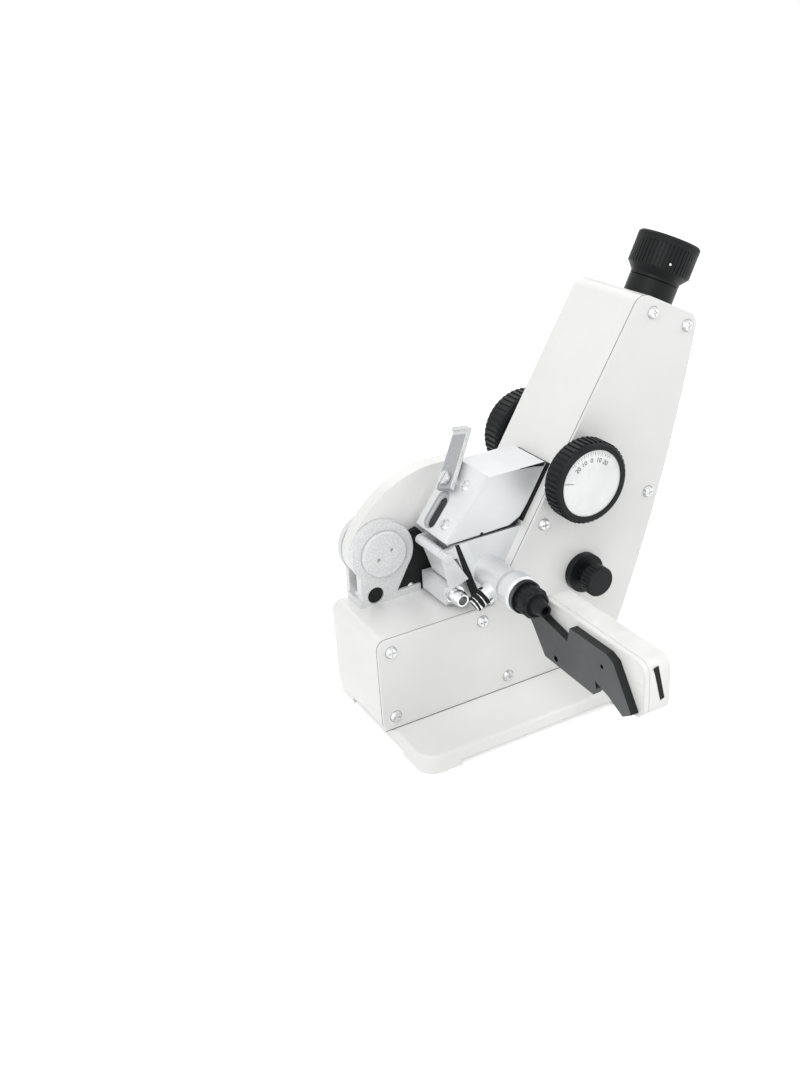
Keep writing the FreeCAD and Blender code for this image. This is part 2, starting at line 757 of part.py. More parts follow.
def make_compensator():
    """Two prism cells, one each side of the bevel pinion, which turns them opposite ways."""
    for name, sign in (("lower", "-"), ("upper", "")):
        start = "bevel_radius + running_clearance"
        cell = turned(f"{name}_compensator_cell", [
            ("tube_radius - tube_wall", f"{sign}({start})"), ("ring_radius", f"{sign}({start})"),
            ("ring_radius", f"{sign}({start} + ring_thickness)"),
            ("tube_radius", f"{sign}({start} + ring_thickness)"),
            ("tube_radius", f"{sign}({start} + ring_thickness + cell_length)"),
            ("tube_radius - tube_wall", f"{sign}({start} + ring_thickness + cell_length)")])
        on_optic(cell)
        node(cell, f"{name}_compensator_cell")
        prism = turned(f"{name}_compensator_prism", disc_profile(
            "tube_radius - tube_wall - fit_clearance", f"{sign}({start} + 1)",
            f"{sign}({start} + ring_thickness + cell_length - 1)"))
        on_optic(prism)
        node(prism, f"{name}_compensator_prism")


# Dispersion drive
def ribbed_knob(name, radius, depth, dial_recess, hub):
    """A knob turned about its own Z: its back at zero, its front at its depth."""
    knob = turned(name, [
        (f"{hub}", "0"), (f"{radius} - 3", "0"), (f"{radius} - 1", "1"), (f"{radius}", "2"),
        (f"{radius}", f"{depth} - 1.5"), (f"{radius} - 1.5", f"{depth}"),
        (f"{dial_recess} + fit_clearance", f"{depth}"),
        (f"{dial_recess} + fit_clearance", f"{depth} - dial_thickness - dial_recess"),
        (f"{hub}", f"{depth} - dial_thickness - dial_recess")])
    cut_ribs(knob, radius, depth, "knob_rib_count", "knob_rib_width", "knob_rib_depth")
    return knob


def make_dispersion():
    back = f"({COVER_NEAR} + knob_gap)"
    bush = turned("dispersion_bush", [
        ("shaft_radius + fit_clearance", "-6"), ("bush_radius", "-6"), ("bush_radius", "0"),
        ("bush_flange", "0"), ("bush_flange", "bush_flange_thickness"),
        ("shaft_radius + fit_clearance", "bush_flange_thickness")])
    face_near(bush, "dispersion_x", COVER_NEAR, "dispersion_z")
    node(bush, "dispersion_bush")
    shaft = turned("dispersion_shaft", disc_profile("shaft_radius", "gear_near",
                                                    f"{back} + dispersion_depth - dial_thickness - dial_recess"))
    face_near(shaft, "dispersion_x", "0", "dispersion_z")
    node(shaft, "dispersion_shaft")
    gear = turned("dispersion_gear", disc_profile("gear_radius", "gear_near - gear_thickness", "gear_near"))
    face_near(gear, "dispersion_x", "0", "dispersion_z")
    node(gear, "dispersion_gear")
    knob = ribbed_knob("dispersion_knob", "dispersion_radius", "dispersion_depth", "dial_radius",
                       "shaft_radius + fit_clearance")
    face_near(knob, "dispersion_x", back, "dispersion_z")
    node(knob, "dispersion_knob")
    dial = turned("dispersion_dial", disc_profile(
        "dial_radius", "dispersion_depth - dial_thickness - dial_recess", "dispersion_depth - dial_recess"))
    face_near(dial, "dispersion_x", back, "dispersion_z")
    node(dial, "dispersion_dial")
    idler = turned("idler_shaft", [
        ("0", "crown_radius - bevel_length - eyepiece_off"),
        ("bevel_radius - 0.6", "crown_radius - bevel_length - eyepiece_off"),
        ("bevel_radius", "crown_radius - eyepiece_off"),
        ("1.5", "crown_radius - eyepiece_off"), ("1.5", "gear_near - gear_thickness"),
        (IDLER_RADIUS, "gear_near - gear_thickness"), (IDLER_RADIUS, "gear_near"), ("0", "gear_near")])
    face_near(idler, GEAR_X, "0", GEAR_Z)
    node(idler, "idler_shaft")


# Index drive
def make_index():
    back = "(housing_far + index_gap)"
    bush = turned("index_bush", [
        ("shaft_radius + fit_clearance", "-wall_thickness"), ("bush_radius", "-wall_thickness"),
        ("bush_radius", "0"), ("bush_flange", "0"), ("bush_flange", "bush_flange_thickness"),
        ("shaft_radius + fit_clearance", "bush_flange_thickness")])
    face_far(bush, "index_x", "housing_far", "index_z")
    node(bush, "index_bush")
    shaft = turned("index_shaft", [
        ("0", "sector_far - 2"), ("pinion_radius", "sector_far - 2"),
        ("pinion_radius", "housing_far - wall_thickness"), ("shaft_radius", "housing_far - wall_thickness"),
        ("shaft_radius", f"{back} + index_depth - dial_thickness - dial_recess"),
        ("0", f"{back} + index_depth - dial_thickness - dial_recess")])
    face_far(shaft, "index_x", "0", "index_z")
    node(shaft, "index_shaft")
    knob = ribbed_knob("index_knob", "index_radius", "index_depth", "dial_radius",
                       "shaft_radius + fit_clearance")
    face_far(knob, "index_x", back, "index_z")
    node(knob, "index_knob")
    cap = turned("index_knob_cap", disc_profile(
        "dial_radius", "index_depth - dial_thickness - dial_recess", "index_depth - dial_recess"))
    face_far(cap, "index_x", back, "index_z")
    node(cap, "index_knob_cap")


def make_sector():
    """A plain pitch sector that the index pinion turns, with the glass scale on its tail."""
    radius = value(SECTOR_RADIUS)
    half = value("sector_half_angle")
    middle = value(SECTOR_TURN)
    thick = value("sector_thickness")
    centre = Vector(value("sector_x"), value("sector_far"), value("sector_z"))
    hub = value("sector_pin_radius") + 4

    def at(distance, turn):
        angle = math.radians(turn)
        return centre.add(Vector(distance * math.cos(angle), 0, distance * math.sin(angle)))
    rim = Part.Arc(at(radius, middle - half), at(radius, middle), at(radius, middle + half)).toShape()
    sides = Part.makePolygon([at(radius, middle + half), centre, at(radius, middle - half)])
    fan = Part.Face(Part.Wire([rim] + sides.Edges)).extrude(Vector(0, thick, 0))
    disc = Part.makeCylinder(hub, thick, centre, ACROSS_Y)
    reach = math.hypot(value("condenser_x - sector_x"), value("condenser_z - sector_z"))
    tail_turn = math.degrees(math.atan2(value("condenser_z - sector_z"), value("condenser_x - sector_x")))
    wide, tall = value("scale_width"), value("scale_height")
    tail = Part.makeBox(reach + tall / 2, thick, wide, Vector(0, 0, -wide / 2))
    tail.Placement = Placement(centre, Rotation(Vector(0, 1, 0), -tail_turn))
    opening = Part.makeBox(tall - 2, thick + 2, wide - 2, Vector(reach - tall / 2 + 1, -1, 1 - wide / 2))
    opening.Placement = tail.Placement
    bore = Part.makeCylinder(value("sector_pin_radius + fit_clearance"), thick + 2,
                             centre.add(Vector(0, -1, 0)), ACROSS_Y)
    sector = doc.addObject("Part::Feature", "index_sector")
    sector.Shape = fan.fuse([disc, tail]).cut(opening).cut(bore).removeSplitter()
    node(sector, "index_sector")
    glass = Part.makeBox(tall, value("scale_thickness"), wide, Vector(reach - tall / 2, 0, -wide / 2))
    glass.Placement = Placement(centre.add(Vector(0, -value("scale_thickness"), 0)),
                                Rotation(Vector(0, 1, 0), -tail_turn))
    scale = doc.addObject("Part::Feature", "scale_glass")
    scale.Shape = glass
    node(scale, "scale_glass")
    pin = turned("sector_pin", [
        ("0", "sector_far - 1.5"), ("sector_pin_radius + 1.5", "sector_far - 1.5"),
        ("sector_pin_radius + 1.5", "sector_far - running_clearance"),
        ("sector_pin_radius", "sector_far - running_clearance"),
        ("sector_pin_radius", "housing_far - 1"), ("0", "housing_far - 1")])
    face_far(pin, "sector_x", "0", "sector_z")
    node(pin, "sector_pin")


def make_condenser():
    flange = turned("condenser_flange", ring_profile(
        "condenser_stem_radius + fit_clearance", "condenser_flange_radius", "0", "condenser_flange_height"))
    face_near(flange, "condenser_x", COVER_NEAR, "condenser_z")
    node(flange, "condenser_flange")
    stem_top = "(condenser_flange_height + condenser_stem_length)"
    knob = turned("condenser_knob", [
        ("0", "-4"), ("condenser_stem_radius", "-4"), ("condenser_stem_radius", stem_top),
        ("condenser_cap_radius - 0.8", stem_top), ("condenser_cap_radius", f"{stem_top} + 0.8"),
        ("condenser_cap_radius", f"{stem_top} + condenser_cap_height - 0.8"),
        ("condenser_cap_radius - 0.8", f"{stem_top} + condenser_cap_height"),
        ("0", f"{stem_top} + condenser_cap_height")])
    cut_ribs(knob, "condenser_cap_radius", f"{stem_top} + condenser_cap_height", "knob_rib_count / 2",
             "eyecup_groove", "eyecup_groove")
    face_near(knob, "condenser_x", COVER_NEAR, "condenser_z")
    node(knob, "condenser_knob")


# Lower prism: a wedge block on the column's leaning front, with its prism let into the top
PRISM_DEPTH = "(prism_near + prism_far)"
PRISM_MIDDLE = "((prism_far - prism_near) / 2)"


def prism_outline(grow):
    """The prism's rectangle in X and Y, grown all round."""
    low_x, high_x = f"prism_x - prism_length / 2 - {grow}", f"prism_x + prism_length / 2 + {grow}"
    low_y = f"{PRISM_MIDDLE} - prism_width / 2 - {grow}"
    high_y = f"{PRISM_MIDDLE} + prism_width / 2 + {grow}"
    return [(low_x, low_y), (high_x, low_y), (high_x, high_y), (low_x, high_y)]


def make_prism(name, bottom):
    """A ground prism in its mount, its flat face in the gap."""
    body = new_body(name)
    drawing = new_sketch(body, "XY_Plane", bottom)
    draw_outline(drawing, prism_outline("0"))
    pad(body, drawing, "prism_depth")
    node(body, name)


def make_lower_mount():
    body = slab("lower_prism_mount", [
        ("lower_bottom_left", "lower_bottom"), (front_at("lower_bottom"), "lower_bottom"),
        (front_at(LOWER_TOP), LOWER_TOP), ("lower_left", LOWER_TOP)], "prism_near", PRISM_DEPTH)
    lug = new_sketch(body, "XZ_Plane", "prism_near - 3")
    draw_outline(lug, [("nipple_x - nipple_radius - 1", "nipple_z - nipple_radius - 1"),
                       (front_at("lower_bottom", "1"), "nipple_z - nipple_radius - 1"),
                       (front_at("lower_bottom", "1"), "nipple_z + nipple_radius + 1"),
                       ("nipple_x - nipple_radius - 1", "nipple_z + nipple_radius + 1")])
    pad(body, lug, "prism_near + prism_far - 6", backwards=True)
    bed = new_sketch(body, "XY_Plane", LOWER_TOP)
    draw_outline(bed, prism_outline("fit_clearance"))
    pocket(body, bed, "prism_depth")
    cut_circles(body, [("socket_x", "socket_z")], "probe_radius + running_clearance", "prism_near",
                "probe_length - socket_length")
    node(body, "lower_prism_mount")
    make_prism("lower_prism", f"{LOWER_TOP} - prism_depth")


SIDE_RUN = "(lower_bottom_left - lower_left)"
SIDE_RISE = "(gap_height - gap_width / 2 - lower_bottom)"
SIDE_LENGTH = f"sqrt(pow({SIDE_RUN}; 2) + pow({SIDE_RISE}; 2))"
SIDE_LEAN = f"atan2({SIDE_RUN}; {SIDE_RISE})"
PIVOT_UP_SIDE = (f"((lower_bottom_left - mirror_pivot_x) * sin({SIDE_LEAN})"
                 f" + (mirror_pivot_z - lower_bottom) * cos({SIDE_LEAN}))")
PIVOT_OUT_SIDE = (f"((lower_bottom_left - mirror_pivot_x) * cos({SIDE_LEAN})"
                  f" - (mirror_pivot_z - lower_bottom) * sin({SIDE_LEAN}))")


def make_side_plate():
    """The plate on the lower mount's leaning left face, with two ears that hold the mirror's pin."""
    body = new_body("lower_side_plate")
    drawing = new_sketch(body, "XZ_Plane", "prism_near")
    start = "(nipple_z + nipple_radius + 2 + side_strip_thickness - lower_bottom)"
    draw_outline(drawing, [("-side_strip_thickness", start), ("0", start), ("0", SIDE_LENGTH),
                           ("-side_strip_thickness", SIDE_LENGTH)])
    pad(body, drawing, PRISM_DEPTH, backwards=True)
    for near in ("prism_near", "-(mirror_far - ear_thickness)"):
        ear = new_sketch(body, "XZ_Plane", near)
        low, high = f"{PIVOT_UP_SIDE} - ear_radius", f"{PIVOT_UP_SIDE} + ear_radius"
        draw_outline(ear, [(f"-{PIVOT_OUT_SIDE}", low), ("-side_strip_thickness / 2", f"{low} - 3"),
                           ("-side_strip_thickness / 2", f"{SIDE_LENGTH} - 1"), (f"-{PIVOT_OUT_SIDE}", high)])
        pad(body, ear, "ear_thickness", backwards=True)
        add_circles(body, [(f"-{PIVOT_OUT_SIDE}", PIVOT_UP_SIDE)], "ear_radius", near, "ear_thickness")
        cut_circles(body, [(f"-{PIVOT_OUT_SIDE}", PIVOT_UP_SIDE)], "mirror_pivot_radius + fit_clearance",
                    near, "ear_thickness")
    place(body, ("lower_bottom_left", "0", "lower_bottom"), (0, -1, 0), SIDE_LEAN)
    node(body, "lower_side_plate")


# Upper prism mount, the lid: a block over the lower one, clear of the column when it swings
UPPER_LEAN = "atan2((upper_top_left - upper_left); (upper_top - gap_height))"
UPPER_FACE = "sqrt(pow(upper_top_left - upper_left; 2) + pow(upper_top - gap_height; 2))"


WINDOW_TOP = f"({UPPER_FACE} - window_drop + window_length / 2 - window_width / 2)"
WINDOW_LOW = f"({UPPER_FACE} - window_drop - window_length / 2 + window_width / 2)"
PIVOT_UP = f"({UPPER_FACE} - shield_pivot_drop)"
FRONT_SCREWS = [("-prism_near + 9", f"{UPPER_FACE} - 8.5"), ("-prism_near + 7.5", "8.5")]


def make_upper_mount():
    body = slab("upper_prism_mount", [
        (f"upper_left + gap_width / 2 * tan({UPPER_LEAN})", UPPER_BOTTOM),
        (front_at("gap_height", "upper_clearance + 1"), UPPER_BOTTOM),
        (front_at("gap_height + 10", "upper_clearance"), "gap_height + 10"),
        (front_at("upper_top", "upper_clearance"), "upper_top"),
        ("upper_top_left", "upper_top")], "prism_near", PRISM_DEPTH)
    round_edges(body, "block_edge", through(("upper_top_left", "upper_top"),
                                            (front_at("upper_top", "upper_clearance"), "upper_top")))
    bed = new_sketch(body, "XY_Plane", UPPER_BOTTOM)
    draw_outline(bed, prism_outline("fit_clearance"))
    pocket(body, bed, "prism_depth", backwards=True)
    foot = ("upper_left", "0", "gap_height")
    holes = tilted_sketch(body, foot, f"{UPPER_LEAN} - 90 deg")
    for across, along in FRONT_SCREWS + [("shield_pivot_off", PIVOT_UP)]:
        draw_circle(holes, along, across, "screw_radius + fit_clearance")
    pocket(body, holes, "screw_length")
    well = tilted_sketch(body, foot, f"{UPPER_LEAN} - 90 deg")
    low_y, high_y = "window_off - window_width / 2", "window_off + window_width / 2"
    draw_outline(well, [(WINDOW_LOW, low_y), (WINDOW_TOP, low_y), (WINDOW_TOP, high_y), (WINDOW_LOW, high_y)])
    pocket(body, well, "window_depth")
    node(body, "upper_prism_mount")
    make_prism("upper_prism", UPPER_BOTTOM)


def on_front(thing):
    """Places a piece drawn in Y and Z on the upper mount's leaning left face, its foot at the gap."""
    place(thing, ("upper_left", "0", "gap_height"), (0, 1, 0), UPPER_LEAN)


def slot(drawing, across, low, high, radius):
    """A slot with round ends along the drawing's second axis."""
    left, right = f"{across} - ({radius})", f"{across} + ({radius})"
    normal, wide = Vector(0, 0, 1), value(radius)
    for number, (height, turn) in enumerate(((low, math.pi), (high, 0.0))):
        circle = Part.Circle(Vector(value(across), value(height), 0), normal, wide)
        drawing.addGeometry(Part.ArcOfCircle(circle, turn, turn + math.pi), False)
        side = (right, low, high) if number == 0 else (left, high, low)
        ends = [Vector(value(side[0]), value(text), 0) for text in side[1:]]
        drawing.addGeometry(Part.LineSegment(*ends), False)
    for edge in range(4):
        drawing.addConstraint(Sketcher.Constraint("Coincident", edge, 2, (edge + 1) % 4, 1))
    hold_point(drawing, 1, 1, right, low)
    hold_point(drawing, 1, 2, right, high)
    hold_point(drawing, 3, 1, left, high)
    hold_point(drawing, 3, 2, left, low)
    hold(drawing, "DistanceY", (-1, 1, 0, 3), low)
    hold(drawing, "DistanceY", (-1, 1, 2, 3), high)


def make_front_plate():
    body = new_body("front_plate")
    drawing = new_sketch(body, "YZ_Plane")
    draw_outline(drawing, [("-prism_near", "1"), ("prism_far", "1"),
                           ("prism_far", f"{UPPER_FACE} + 1"), ("-prism_near", f"{UPPER_FACE} + 1")])
    pad(body, drawing, "front_plate_thickness", backwards=True)
    opening = new_sketch(body, "YZ_Plane")
    slot(opening, "window_off", WINDOW_LOW, WINDOW_TOP, "window_width / 2")
    pocket(body, opening, "front_plate_thickness")
    holes = new_sketch(body, "YZ_Plane")
    for across, along in FRONT_SCREWS + [("shield_pivot_off", PIVOT_UP)]:
        draw_circle(holes, across, along, "screw_radius + fit_clearance")
    pocket(body, holes, "front_plate_thickness")
    on_front(body)
    node(body, "front_plate")
    glass = new_body("window_glass")
    drawing = new_sketch(glass, "YZ_Plane")
    slot(drawing, "window_off", WINDOW_LOW, WINDOW_TOP, "window_width / 2 - fit_clearance")
    pad(glass, drawing, "window_glass_thickness", backwards=True)
    on_front(glass)
    node(glass, "window_glass")


def on_front_spot(off, up, out):
    """The X, Y, Z place of a spot on the front plate: across, up the face, and out from it."""
    lean = math.radians(value(UPPER_LEAN))
    rise, away = value(up), value(out)
    return (value("upper_left") + rise * math.sin(lean) - away * math.cos(lean), value(off),
            value("gap_height") + rise * math.cos(lean) + away * math.sin(lean))


def make_front_screws():
    turn = Rotation(ACROSS_Y, value(UPPER_LEAN) - 90)
    spots = [on_front_spot(off, up, "front_plate_thickness") for off, up in FRONT_SCREWS]
    screw_group("front_plate_screws", spots, turn)


# Light shield: a bar on a slotted screw, swung up beside the window
def make_shield():
    body = new_body("light_shield_bar")
    drawing = new_sketch(body, "YZ_Plane", "-(front_plate_thickness + shield_lift)")
    half = "shield_width / 2"
    draw_outline(drawing, [(f"-{half}", f"-{half}"), (half, f"-{half}"),
                           (half, f"shield_length - {half}"), (f"-{half}", f"shield_length - {half}")])
    pad(body, drawing, "shield_thickness", backwards=True)
    lip = new_sketch(body, "YZ_Plane", "-(front_plate_thickness + shield_lift + shield_thickness)")
    draw_outline(lip, [(f"-{half}", f"shield_length - {half} - 2"), (half, f"shield_length - {half} - 2"),
                       (half, f"shield_length - {half}"), (f"-{half}", f"shield_length - {half}")])
    pad(body, lip, "shield_lip", backwards=True)
    hole = new_sketch(body, "YZ_Plane", "-front_plate_thickness")
    draw_circle(hole, "0", "0", "screw_radius + fit_clearance")
    pocket(body, hole, "shield_lift + shield_thickness")
    set_shield(body)
    node(body, "light_shield_bar")


def set_shield(thing):
    spot = on_front_spot("shield_pivot_off", PIVOT_UP, "0")
    turn = Rotation(Vector(0, 1, 0), value(UPPER_LEAN)).multiply(
        Rotation(Vector(1, 0, 0), -value("shield_swing")))
    thing.Placement = Placement(Vector(*spot), turn)


def make_shield_screw():
    lift = value("front_plate_thickness + shield_lift + shield_thickness")
    head = value("shield_screw_radius")
    shank = Part.makeCylinder(value("screw_radius"), lift + value("wall_thickness"),
                              Vector(0, 0, -value("wall_thickness")))
    collar = Part.makeCylinder(head, value("shield_lift") - value("running_clearance"),
                               Vector(0, 0, value("front_plate_thickness")))
    cap = Part.makeCylinder(head, 2, Vector(0, 0, lift + value("running_clearance")))
    cap = cap.cut(Part.makeBox(head * 2.2, value("cross_width"), 1,
                               Vector(-head * 1.1, -value("cross_width") / 2,
                                      lift + value("running_clearance") + 1.2)))
    neck = Part.makeCylinder(value("screw_radius"), value("running_clearance") + 0.1,
                             Vector(0, 0, lift))
    screw = doc.addObject("Part::Feature", "shield_pivot_screw")
    screw.Shape = shank.fuse([collar, neck, cap]).removeSplitter()
    spot = on_front_spot("shield_pivot_off", PIVOT_UP, "0")
    turn = Rotation(Vector(0, 1, 0), value(UPPER_LEAN)).multiply(Rotation(Vector(0, 1, 0), -90))
    screw.Placement = Placement(Vector(*spot), turn)
    node(screw, "shield_pivot_screw")


# Hinge: a pedestal on the box, a pin with a spanner cap, and the cast arm that carries the lid
ARM_NEAR = "(-hub_near + hub_ring_depth + running_clearance)"


def make_pedestal():
    far = "(-hub_near + hub_ring_depth + arm_depth + 2 * running_clearance)"
    body = new_body("hinge_pedestal")
    base = new_sketch(body, "XY_Plane", "box_top")
    draw_outline(base, [("pedestal_left", "-hub_near"), ("pedestal_right", "-hub_near"),
                        ("pedestal_right", "housing_far - casting_edge"),
                        ("pedestal_left", "housing_far - casting_edge")])
    pad(body, base, "pedestal_base")
    for near, depth in (("hub_near", "hub_ring_depth"), (f"-{far}", "far_lug_depth")):
        web = new_sketch(body, "XZ_Plane", near)
        draw_outline(web, [("pedestal_left + 1", "box_top"), ("hub_x + 4", "box_top"),
                           ("hub_x + hub_ring_radius * 0.8", "hub_z - hub_ring_radius * 0.6"),
                           ("hub_x - hub_ring_radius * 0.8", "hub_z - hub_ring_radius * 0.6")])
        pad(body, web, depth, backwards=True)
        add_circles(body, [("hub_x", "hub_z")], "hub_ring_radius", near, depth)
        cut_circles(body, [("hub_x", "hub_z")], "hub_pin_radius + fit_clearance", near, depth)
    notch = new_sketch(body, "XZ_Plane", "hub_near")
    draw_circle(notch, "hub_x - hub_ring_radius * 0.35", "box_top + pedestal_base + 1", "pedestal_notch")
    pocket(body, notch, "hub_ring_depth")
    screws = new_sketch(body, "XY_Plane", "box_top + pedestal_base")
    for across, along in PEDESTAL_SCREWS:
        draw_circle(screws, across, along, "screw_radius + fit_clearance")
    pocket(body, screws, "pedestal_base")
    node(body, "hinge_pedestal")
    top = value("box_top + pedestal_base")
    spots = [(value(across), value(along), top) for across, along in PEDESTAL_SCREWS]
    screw_group("pedestal_screws", spots, Rotation())


def make_hub_pin():
    far = "(hub_ring_depth + arm_depth + 2 * running_clearance + far_lug_depth)"
    pin = turned("hub_pin", disc_profile("hub_pin_radius", f"-{far}", "running_clearance"))
    face_near(pin, "hub_x", "hub_near", "hub_z")
    node(pin, "hub_pin")
    cap = turned("hub_cap", [
        ("0", "running_clearance"), ("hub_cap_radius", "running_clearance"),
        ("hub_cap_radius", "hub_cap_thickness - 0.5"), ("hub_cap_radius - 0.8", "hub_cap_thickness"),
        ("0", "hub_cap_thickness")])
    holes = new_sketch(cap, "XY_Plane", "hub_cap_thickness")
    draw_circle(holes, "-spanner_hole_spread / 2", "-spanner_hole_spread / 4", "spanner_hole_radius")
    draw_circle(holes, "spanner_hole_spread / 2", "spanner_hole_spread / 4", "spanner_hole_radius")
    pocket(cap, holes, "1.5")
    face_near(cap, "hub_x", "hub_near", "hub_z")
    node(cap, "hub_cap")


def make_arm():
    """The cast arm: an eye round the pin that sweeps up into a cheek on the upper mount's far face."""
    body = slab("hinge_arm", [
        ("hub_x", "hub_z - arm_hub_radius"), ("upper_left", "hub_z - arm_hub_radius * 0.35"),
        ("upper_top_left", UPPER_BOTTOM), ("upper_top_left + 8", "upper_top - 8"),
        ("upper_top_left + 2", "upper_top - 1"), ("upper_top_left - 12", "upper_top - 1", "arm_hub_radius * 3.5"),
        ("hub_x - arm_hub_radius * 0.8", "hub_z + arm_hub_radius * 0.6")],
        f"-{ARM_NEAR}", "arm_depth")
    add_circles(body, [("hub_x", "hub_z")], "arm_hub_radius", f"-{ARM_NEAR}", "arm_depth")
    cheek = new_sketch(body, "XZ_Plane", "-prism_far")
    draw_outline(cheek, [
        ("upper_left + 4", f"{UPPER_BOTTOM} + 2"), ("upper_top_left", f"{UPPER_BOTTOM} + 2"),
        ("upper_top_left + 8", "upper_top - 8"), ("upper_top_left + 2", "upper_top - 1"),
        ("upper_top_left - 4", "upper_top - 4")])
    pad(body, cheek, f"{ARM_NEAR} - prism_far + arm_depth / 2", backwards=True)
    cut_circles(body, [("hub_x", "hub_z")], "hub_pin_radius + fit_clearance", f"-{ARM_NEAR}", "arm_depth")
    node(body, "hinge_arm")


# Reflecting mirror: a flap on a pin between the side plate's ears, with a pointed cheek at its near side
def make_mirror():
    gap = value("running_clearance")
    start = -value("prism_near") + value("ear_thickness") + gap
    stop = value("mirror_far - ear_thickness") - gap
    length, thick = value("mirror_length"), value("mirror_thickness")
    cheek, radius = value("mirror_cheek_thickness"), value("ear_radius")
    plate = Part.makeBox(thick, stop - start, length, Vector(-thick / 2, start, -length))
    barrel = Part.makeCylinder(radius, stop - start, Vector(0, start, 0), ACROSS_Y)
    near = -value("prism_near") - cheek - gap
    corners = [Vector(radius, near, 0), Vector(-radius, near, 0), Vector(-radius - 2, near, -length),
               Vector(radius + 4, near, -length)]
    leaf = Part.Face(Part.makePolygon(corners + corners[:1])).extrude(Vector(0, cheek, 0))
    crown = Part.makeCylinder(radius, cheek, Vector(0, near, 0), ACROSS_Y)
    foot = Part.makeBox(thick, start - near, length * 0.4, Vector(-thick / 2, near, -length))
    shape = plate.fuse([barrel, leaf, crown, foot])
    hole = Part.makeCylinder(value("mirror_pivot_radius + fit_clearance"), stop - near + 2,
                             Vector(0, near - 1, 0), ACROSS_Y)
    holder = doc.addObject("Part::Feature", "mirror_holder")
    holder.Shape = shape.cut(hole).removeSplitter()
    spot = Vector(value("mirror_pivot_x"), 0, value("mirror_pivot_z"))
    turn = Rotation(ACROSS_Y, -value("mirror_lean"))
    holder.Placement = Placement(spot, turn)
    node(holder, "mirror_holder")
    glass = doc.addObject("Part::Feature", "mirror_glass")
    glass.Shape = Part.makeBox(1, stop - start - 2, length - radius - 2,
                               Vector(thick / 2, start + 1, -length + 1))
    glass.Placement = Placement(spot, turn)
    node(glass, "mirror_glass")
    pin = turned("mirror_pin", [
        ("0", "-mirror_far"), ("mirror_pivot_radius", "-mirror_far"),
        ("mirror_pivot_radius", "prism_near + mirror_cheek_thickness + 2 * running_clearance"),
        ("mirror_pivot_radius + 1", "prism_near + mirror_cheek_thickness + 2 * running_clearance"),
        ("mirror_pivot_radius + 1", "prism_near + mirror_cheek_thickness + 2"),
        ("0", "prism_near + mirror_cheek_thickness + 2")])
    face_near(pin, "mirror_pivot_x", "0", "mirror_pivot_z")
    node(pin, "mirror_pin")


# Hose nipples, barbed, with an open bore
def nipple_profile():
    barb = "nipple_radius - nipple_barb"
    return [
        ("nipple_bore", "0"), ("nipple_radius + 1", "0"), ("nipple_radius + 1", "2"), (barb, "2"),
        (barb, "nipple_length * 0.45"), ("nipple_radius", "nipple_length * 0.45"),
        (barb, "nipple_length * 0.72"), ("nipple_radius", "nipple_length * 0.72"),
        (barb, "nipple_length"), ("nipple_bore", "nipple_length")]


NIPPLE_NEAR = "(prism_near + socket_length * 0.45)"


def make_nipples():
    first = turned("lower_hose_nipple", nipple_profile())
    face_near(first, "nipple_x", "prism_near - 3", "nipple_z")
    node(first, "lower_hose_nipple")
    second = turned("socket_hose_nipple", nipple_profile())
    reach = "(socket_radius + 2)"
    place(second, (f"socket_x + {reach} * cos(nipple_turn)", f"-{NIPPLE_NEAR}",
                   f"socket_z + {reach} * sin(nipple_turn)"), (0, -1, 0), "nipple_turn - 90")
    node(second, "socket_hose_nipple")


# Thermometer: socket, nut, probe, bracket and case
def make_socket():
    body = turned("thermometer_socket", [
        ("probe_radius + fit_clearance", "0"), ("socket_radius", "0"),
        ("socket_radius", "socket_length - collar_length - 4"),
        ("socket_radius - 2", "socket_length - collar_length - 4"),
        ("socket_radius - 2", "socket_length - collar_length"),
        ("collar_radius", "socket_length - collar_length"), ("collar_radius", "socket_length - 1"),
        ("collar_radius - 1", "socket_length"), ("probe_radius + fit_clearance", "socket_length")])
    stub = body.newObject("Sketcher::SketchObject", "socket_stub")
    turn = Rotation(Vector(0, 0, 1), value("nipple_turn")).multiply(Rotation(ACROSS_Y, 90))
    stub.Placement = Placement(Vector(0, 0, value("socket_length * 0.45")), turn)
    draw_circle(stub, "0", "0", "nipple_radius + 1")
    pad(body, stub, "socket_radius + 2")
    bore = new_sketch(body, "XY_Plane", "socket_length")
    draw_circle(bore, "0", "0", "probe_radius + fit_clearance")
    pocket(body, bore, "socket_length")
    face_near(body, "socket_x", "prism_near", "socket_z")
    node(body, "thermometer_socket")
    nut = turned("probe_nut", [
        ("probe_radius + fit_clearance", "0"), ("nut_radius", "0"), ("nut_radius", "nut_length - 1"),
        ("nut_radius - 1", "nut_length"), ("boot_radius", "nut_length"),
        ("probe_radius + 1", "nut_length + boot_length"),
        ("probe_radius + fit_clearance", "nut_length + boot_length")])
    face_near(nut, "socket_x", "socket_end + bracket_tab", "socket_z")
    node(nut, "probe_nut")
    probe = turned("thermometer_probe", disc_profile("probe_radius", "0", "probe_length"))
    face_near(probe, "socket_x", "socket_end + bracket_tab + nut_length - probe_length", "socket_z")
    node(probe, "thermometer_probe")


